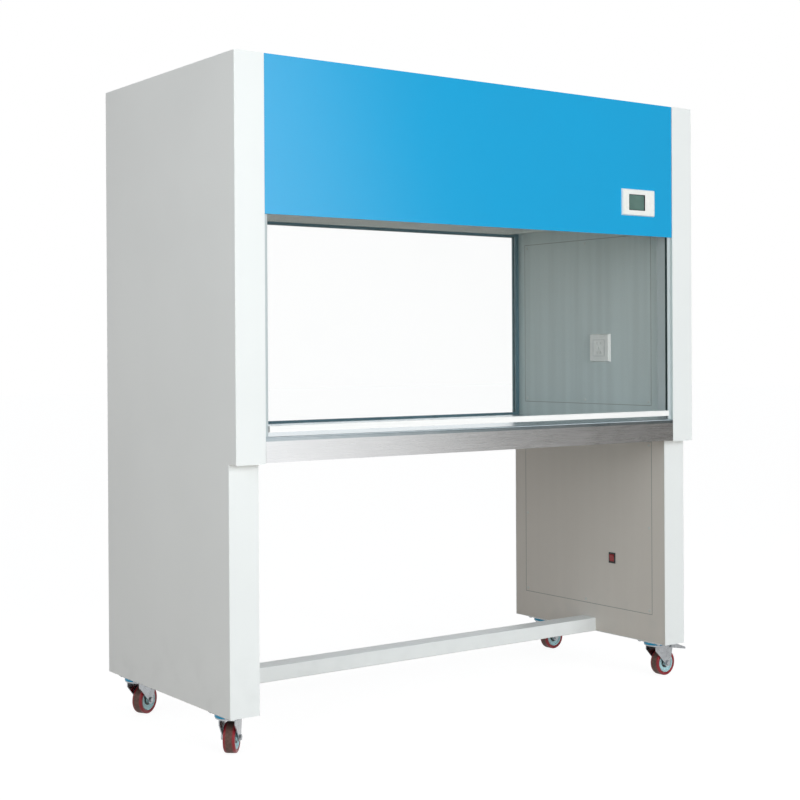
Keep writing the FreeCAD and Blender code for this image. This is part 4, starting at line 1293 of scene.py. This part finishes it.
@dataclass
class SashWires:
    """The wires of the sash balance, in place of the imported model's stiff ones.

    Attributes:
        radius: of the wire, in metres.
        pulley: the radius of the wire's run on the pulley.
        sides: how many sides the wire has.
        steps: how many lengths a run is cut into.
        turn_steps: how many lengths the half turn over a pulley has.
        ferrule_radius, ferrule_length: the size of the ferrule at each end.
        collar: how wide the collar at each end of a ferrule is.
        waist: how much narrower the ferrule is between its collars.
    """

    radius: float = 0.001
    pulley: float = 0.020
    sides: int = 10
    steps: int = 24
    turn_steps: int = 28
    ferrule_radius: float = 0.0022
    ferrule_length: float = 0.008
    collar: float = 0.0006
    waist: float = 0.88

    def upright(self, edge: Any) -> bool:
        """Tell whether an edge runs along the wire."""
        return abs(edge.verts[0].co.z - edge.verts[1].co.z) > self.radius

    def run(self, name: str, x: float, y: float, top: float, bottom: float) -> None:
        """Model one upright run between the pulley and a moving end.

        Args:
            name: its name.
            x, y: its place.
            top, bottom: its ends.
        """
        piece = Bench.drum(self.radius, top - bottom, (x, y, (top + bottom) / 2.0), sides=self.sides)
        Bench.pick(piece, self.upright, "EDGE")
        bpy.ops.mesh.subdivide_edgering(number_cuts=self.steps)
        Bench.close()
        Bench.done(piece, name, Finish.WIRE, "", "wire")
        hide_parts("sash_wires")
        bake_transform(piece)

    def turn(self, name: str, x: float, y: float, z: float) -> None:
        """Model the half turn over one pulley.

        Args:
            name: its name.
            x, y, z: the pulley's centre.
        """
        Bench.clear()
        bpy.ops.mesh.primitive_circle_add(vertices=self.sides, radius=self.radius, fill_type="NGON",
                                          location=(x - self.pulley, y, z))
        piece = bpy.context.object
        bpy.ops.object.transform_apply(location=True)
        Bench.pick(piece, lambda face: True)
        bpy.ops.mesh.spin(steps=self.turn_steps, angle=math.pi, center=(x, y, z), axis=(0.0, 1.0, 0.0))
        Bench.pick(piece, lambda face: True)
        bpy.ops.mesh.remove_doubles(threshold=1e-6)
        bpy.ops.mesh.normals_make_consistent(inside=False)
        Bench.close()
        Bench.done(piece, name, Finish.WIRE, "root", "wire", 60.0)
        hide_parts("sash_wires")

    def ferrule(self, name: str, place: Point, body: str) -> None:
        """Model the pressed ferrule at one end of a wire.

        Args:
            name: its name.
            place: its centre.
            body: the body that it rides on.
        """
        piece = Bench.drum(self.ferrule_radius, self.ferrule_length, place, sides=20)
        Bench.pick(piece, lambda face: abs(face.normal.z) < 0.5)
        Bench.inset(self.collar)
        bpy.ops.transform.resize(value=(self.waist, self.waist, 1.0), center_override=place)
        Bench.close()
        Bench.bevelled(piece, SMALL_EDGE, 2)
        Bench.done(piece, name, Finish.STEEL, body, "zinc_steel")

    def build(self) -> None:
        """Build both wires with their ends."""
        top_of_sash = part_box("sash_runners")[1][2]
        for side in Side:
            centre = middle(side.word + "_pulley")
            x_wire = centre.x - side.value * self.pulley
            x_weight = centre.x + side.value * self.pulley
            z_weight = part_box(side.word + "_counterweight")[1][2]
            self.run(side.word + "_wire_rise", x_wire, centre.y, centre.z, top_of_sash)
            self.run(side.word + "_wire_fall", x_weight, centre.y, centre.z, z_weight)
            self.turn(side.word + "_wire_turn", centre.x, centre.y, centre.z)
            lift = self.ferrule_length / 2.0
            self.ferrule(side.word + "_sash_ferrule", (x_wire, centre.y, top_of_sash + lift), "sash")
            self.ferrule(side.word + "_weight_ferrule", (x_weight, centre.y, z_weight + lift),
                         side.word + "_counterweight")


@dataclass
class Lamps:
    """The metal caps of the tubes under the ceiling.

    Attributes:
        cap: the caps' radius, in metres.
        length: the caps' length.
        tube: the tubes' radius.
        rear_half: half the length of the rear tube.
        set_in: how far a cap's end is inside the tube's.
        rim: how wide the rim inset round a cap is.
        edge: the bevel of the caps' edges.
    """

    tube: float = 0.008
    rear_half: float = 0.430
    cap: float = 0.0084
    length: float = 0.012
    set_in: float = 0.0002
    rim: float = 0.0008
    edge: float = 0.0004

    def build(self) -> None:
        """Put a cap on each end of both tubes."""
        low, high = corners("lamp_tubes")
        caps = []
        z = (low.z + high.z) / 2.0
        rows = ((low.y + self.tube, (high.x - low.x) / 2.0), (high.y - self.tube, self.rear_half))
        for y, half in rows:
            for side in (-1.0, 1.0):
                x = side * (half - self.length / 2.0 - self.set_in)
                cap = Bench.drum(self.cap, self.length, (x, y, z), (0.0, math.pi / 2.0, 0.0), 40)
                Bench.pick(cap, lambda face: abs(face.normal.z) > 0.9)
                Bench.inset(self.rim)
                Bench.close()
                Bench.bevelled(cap, self.edge, 2)
                caps.append(cap)
        Bench.done(Bench.joined("lamp_caps", caps), "lamp_caps", Finish.STEEL, "root", "zinc_steel")


@dataclass
class Fittings:
    """Small parts of the display and the socket.

    Attributes:
        recess_shade_width: the width of the dark lining round the display's screen, painted shade in its
            recess, in metres.
        recess_shade_depth: how far its front is behind the bezel's.
        contact: the size of a contact in the socket's slots.
        contact_depth: how far the contacts are behind the socket's face.
        slots: how far the outer slots are from the socket's centre, across and up.
        slant: how far the two lower slots lean, in degrees.
        module: the side of the socket's inner module.
        rim: how deep and how wide the rim round the module is.
        rim_seat: how far the rim's middle is behind the socket's face.
        rim_edge: the bevel of the rim's edges.
    """

    recess_shade_width: float = 0.0014
    recess_shade_depth: float = 0.0003
    contact: Point = (0.001, 0.0014, 0.0056)
    contact_depth: float = 0.0042
    slots: Tuple[float, float] = (0.007, 0.014)
    slant: float = 30.0
    module: float = 0.050
    rim: Tuple[float, float] = (0.0008, 0.0007)
    rim_seat: float = 0.0002
    rim_edge: float = 0.0002

    def screen_recess_shade(self) -> None:
        """Model a dark lining in the opening of the display's screen, as painted shade in its recess."""
        low, high = corners("display_screen")
        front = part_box("display_bezel")[0][1] + self.recess_shade_depth
        size = (high.x - low.x, low.y - front, high.z - low.z)
        centre = ((low.x + high.x) / 2.0, (low.y + front) / 2.0, (low.z + high.z) / 2.0)
        piece = Bench.ring(size, centre, 1, self.recess_shade_width)
        # a black lining that stands for the shade in the screen's recess
        Bench.done(piece, "display_seal", Finish.BLACK_PLASTIC, "root", "black_plastic")

    def socket_outline(self) -> None:
        """Model the raised rim round the socket's module."""
        centre = middle("socket_plate")
        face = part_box("socket_plate")[0][0]
        depth, width = self.rim
        size = (depth, self.module, self.module)
        piece = Bench.ring(size, (face + self.rim_seat, centre.y, centre.z), 0, width)
        Bench.bevelled(piece, self.rim_edge, 1)
        Bench.done(piece, "socket_module_rim", Finish.GREY_PLASTIC, "root", "white_plastic")

    def socket_contacts(self) -> None:
        """Model the sprung contacts that show in the socket's five slots."""
        centre = middle("socket_plate")
        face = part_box("socket_plate")[0][0]
        depth = face + self.contact_depth
        across, up = self.slots
        lean = math.radians(self.slant)
        spots = [(-across, up, 0.0), (across, up, 0.0), (0.0, 0.0, 0.0), (-across, -up, lean),
                 (across, -up, -lean)]
        contacts = []
        for dy, dz, turn in spots:
            part = Bench.block(self.contact, (0.0, 0.0, 0.0))
            Bench.bevelled(part, SMALL_EDGE, 2)
            part.rotation_euler = (turn, 0.0, 0.0)
            part.location = (depth, centre.y + dy, centre.z + dz)
            contacts.append(part)
        Bench.done(Bench.joined("socket_contacts", contacts), "socket_contacts", Finish.BRASS, "root",
                   "zinc_steel")

    def build(self) -> None:
        """Build the small parts."""
        self.screen_recess_shade()
        self.socket_outline()
        self.socket_contacts()


@dataclass(frozen=True)
class Lamp:
    """A square soft lamp that no shiny surface shows.

    Attributes:
        name: its name.
        place: where it hangs, in metres.
        aim: the point that it faces.
        size: its side, in metres.
        power: its power, in watts.
        colour: its light's colour.
    """

    name: str
    place: Point
    aim: Point
    size: float
    power: float
    colour: Colour = (0.94, 0.985, 1.0)

    def hang(self) -> None:
        """Add the lamp."""
        data = bpy.data.lights.new(self.name, "AREA")
        data.size, data.energy, data.color = self.size, self.power, self.colour
        lamp = bpy.data.objects.new(self.name, data)
        bpy.context.scene.collection.objects.link(lamp)
        lamp.visible_glossy = False
        lamp.location = self.place
        lamp.rotation_euler = (Vector(self.aim) - Vector(self.place)).to_track_quat("-Z", "Y").to_euler()


@dataclass
class Studio:
    """The camera, the lamps, the floor and the sky round the cabinet.

    Attributes:
        eye: where the camera stands, in metres.
        yaw, pitch, roll: which way it looks, in degrees.
        lens: its focal length, in millimetres.
        shift: how far the picture is shifted up, as a share of its width.
        sensor: the width of its sensor, in millimetres.
        clip: how near and how far it sees, in metres.
        shine: how bright the sky and the card's white part are in a reflection.
        sky_tint, sky_light: the colour and the strength of the sky's light.
        floor_size: the side of the floor.
        floor_look, floor_bounce: the floor's colour as seen, and for the light that it throws back.
        floor_glow, floor_share: how bright the floor looks, and the share of that in its look.
        floor_fade: where on X the floor's reflection fades out, in metres.
        flag_span: where the grey card begins and ends on X.
        flag_distance: where it stands on Y.
        flag_middle, flag_tall: the height of its middle, and how tall it is.
        flag_fade: where on the slanted line it turns from white to grey.
        flag_slant: how much further left it is grey for each metre of height.
        flag_tone: how bright its grey part is.
        lamps: the lamps.
    """

    eye: Point = (-2.4404, -3.3213, 0.9631)
    yaw: float = 35.879
    pitch: float = -0.26
    roll: float = -0.304
    lens: float = 66.086
    shift: float = -0.05134
    sensor: float = 36.0
    clip: Tuple[float, float] = (0.05, 200.0)
    shine: float = 1.3
    sky_tint: Colour = (0.94, 0.97, 1.0)
    sky_light: float = 0.36
    floor_size: float = 60.0
    floor_look: Colour = srgb(250, 250, 250)
    floor_bounce: Colour = (0.47, 0.40, 0.33)
    floor_glow: float = 1.16
    floor_share: float = 0.78
    floor_fade: Tuple[float, float] = (0.8, 2.8)
    flag_span: Tuple[float, float] = (0.0, 14.0)
    flag_distance: float = -5.0
    flag_middle: float = 2.0
    flag_tall: float = 6.0
    flag_fade: Tuple[float, float] = (2.4, 4.3)
    flag_slant: float = 0.35
    flag_tone: float = 0.08
    lamps: Tuple[Lamp, ...] = (
        Lamp("front_lamp", (0.3, -6.0, 1.0), (0.0, 0.0, 0.7), 5.0, 350.0),
        Lamp("left_lamp", (-3.4, -1.6, 1.7), (-0.76, -0.1, 0.9), 1.6, 30.0),
    )

    def place_camera(self) -> None:
        """Add the camera at the photograph's place."""
        data = bpy.data.cameras.new("camera")
        data.lens, data.shift_y, data.sensor_width = self.lens, self.shift, self.sensor
        data.clip_start, data.clip_end = self.clip
        camera = bpy.data.objects.new("camera", data)
        bpy.context.scene.collection.objects.link(camera)
        turn = Matrix.Rotation(math.radians(-self.yaw), 4, "Z")
        turn = turn @ Matrix.Rotation(math.radians(90.0 + self.pitch), 4, "X")
        turn = turn @ Matrix.Rotation(math.radians(self.roll), 4, "Z")
        camera.matrix_world = Matrix.Translation(self.eye) @ turn
        bpy.context.scene.camera = camera

    @staticmethod
    def emission(paint: Paint, strength: Number) -> Any:
        """Add a white emission node.

        Args:
            paint: the material that it belongs to.
            strength: how bright it is.

        Returns:
            The node.
        """
        glow = paint.tree.nodes.new("ShaderNodeEmission")
        paint.fill(glow, {"Color": WHITE_LIGHT, "Strength": strength})
        return glow

    def lay_floor(self) -> None:
        """Add a wide pale floor that shows white, with the cabinet's shadow on it."""
        bpy.ops.mesh.primitive_plane_add(size=self.floor_size, location=(0.0, 0.0, 0.0))
        floor = bpy.context.object
        floor.name = "floor"
        paint = Paint("studio_floor")
        path = paint.tree.nodes.new("ShaderNodeLightPath")
        kinds = ("Is Camera Ray", "Is Glossy Ray", "Is Transmission Ray")
        camera, glossy, through = (Sock(paint, path.outputs[kind]) for kind in kinds)
        seen = (camera + through).clipped()
        lit = paint.at("X").ramp(*self.floor_fade, 1.0, 0.0)
        paint.finish(Base_Color=paint.mix(seen, self.floor_bounce, self.floor_look), Roughness=0.9)
        blend = paint.tree.nodes.new("ShaderNodeMixShader")
        paint.fill(blend, {0: (seen + glossy * lit) * self.floor_share})
        paint.tree.links.new(paint.shader.outputs[0], blend.inputs[1])
        paint.tree.links.new(self.emission(paint, self.floor_glow).outputs[0], blend.inputs[2])
        paint.tree.links.new(blend.outputs[0], paint.output.inputs["Surface"])
        floor.data.materials.append(paint.material)

    def light_sky(self) -> None:
        """Make the sky white where it is looked at, bright in a reflection, and soft elsewhere."""
        world = bpy.data.worlds.new("studio")
        bpy.context.scene.world = world
        world.use_nodes = True
        tree = world.node_tree
        tree.nodes.clear()
        output = tree.nodes.new("ShaderNodeOutputWorld")
        path = tree.nodes.new("ShaderNodeLightPath")
        seen = tree.nodes.new("ShaderNodeMath")
        seen.operation = "MAXIMUM"
        tree.links.new(path.outputs["Is Camera Ray"], seen.inputs[0])
        tree.links.new(path.outputs["Is Transmission Ray"], seen.inputs[1])

        def backdrop(colour: Colour, strength: float) -> Any:
            """Add a background.

            Args:
                colour: its colour.
                strength: how bright it is.

            Returns:
                Its output.
            """
            node = tree.nodes.new("ShaderNodeBackground")
            node.inputs["Color"].default_value = (*colour, 1.0)
            node.inputs["Strength"].default_value = strength
            return node.outputs[0]

        shown = backdrop(self.sky_tint, self.sky_light)
        for share, strength in ((path.outputs["Is Glossy Ray"], self.shine), (seen.outputs[0], 1.0)):
            blend = tree.nodes.new("ShaderNodeMixShader")
            tree.links.new(share, blend.inputs[0])
            tree.links.new(shown, blend.inputs[1])
            tree.links.new(backdrop(WHITE_LIGHT, strength), blend.inputs[2])
            shown = blend.outputs[0]
        tree.links.new(shown, output.inputs["Surface"])

    def stand_flag(self) -> None:
        """Stand a card in front, white to grey from left to right, which only shiny surfaces show."""
        low, high = self.flag_span
        place = ((low + high) / 2.0, self.flag_distance, self.flag_middle)
        bpy.ops.mesh.primitive_plane_add(size=1.0, location=place, rotation=(math.pi / 2.0, 0.0, 0.0))
        flag = bpy.context.object
        flag.name = "grey_flag"
        flag.scale = (high - low, self.flag_tall, 1.0)
        bpy.ops.object.transform_apply(location=True, rotation=True, scale=True)
        paint = Paint("flag_card")
        reach = paint.at("X") + paint.at("Z") * self.flag_slant
        tone = reach.ramp(*self.flag_fade, self.shine, self.flag_tone)
        glow = self.emission(paint, tone)
        paint.tree.links.new(glow.outputs[0], paint.output.inputs["Surface"])
        flag.data.materials.append(paint.material)
        flag.visible_camera = flag.visible_diffuse = flag.visible_shadow = False
        flag.visible_transmission = False

    def build(self) -> None:
        """Set the view, and add the camera, the floor, the sky and the lamps."""
        bpy.context.scene.view_settings.view_transform = "Standard"
        self.place_camera()
        self.lay_floor()
        self.light_sky()
        self.stand_flag()
        for lamp in self.lamps:
            lamp.hang()
        log.info("studio built")


def main() -> None:
    """Dress the cabinet and set it in the studio."""
    logging.basicConfig(level=logging.INFO, format="%(name)s: %(message)s")
    dress_cad_nodes()
    for part in (Screws, Gaskets, Casters, SashWires, Lamps, Fittings, Studio):
        part().build()


if __name__ == "__main__":
    main()
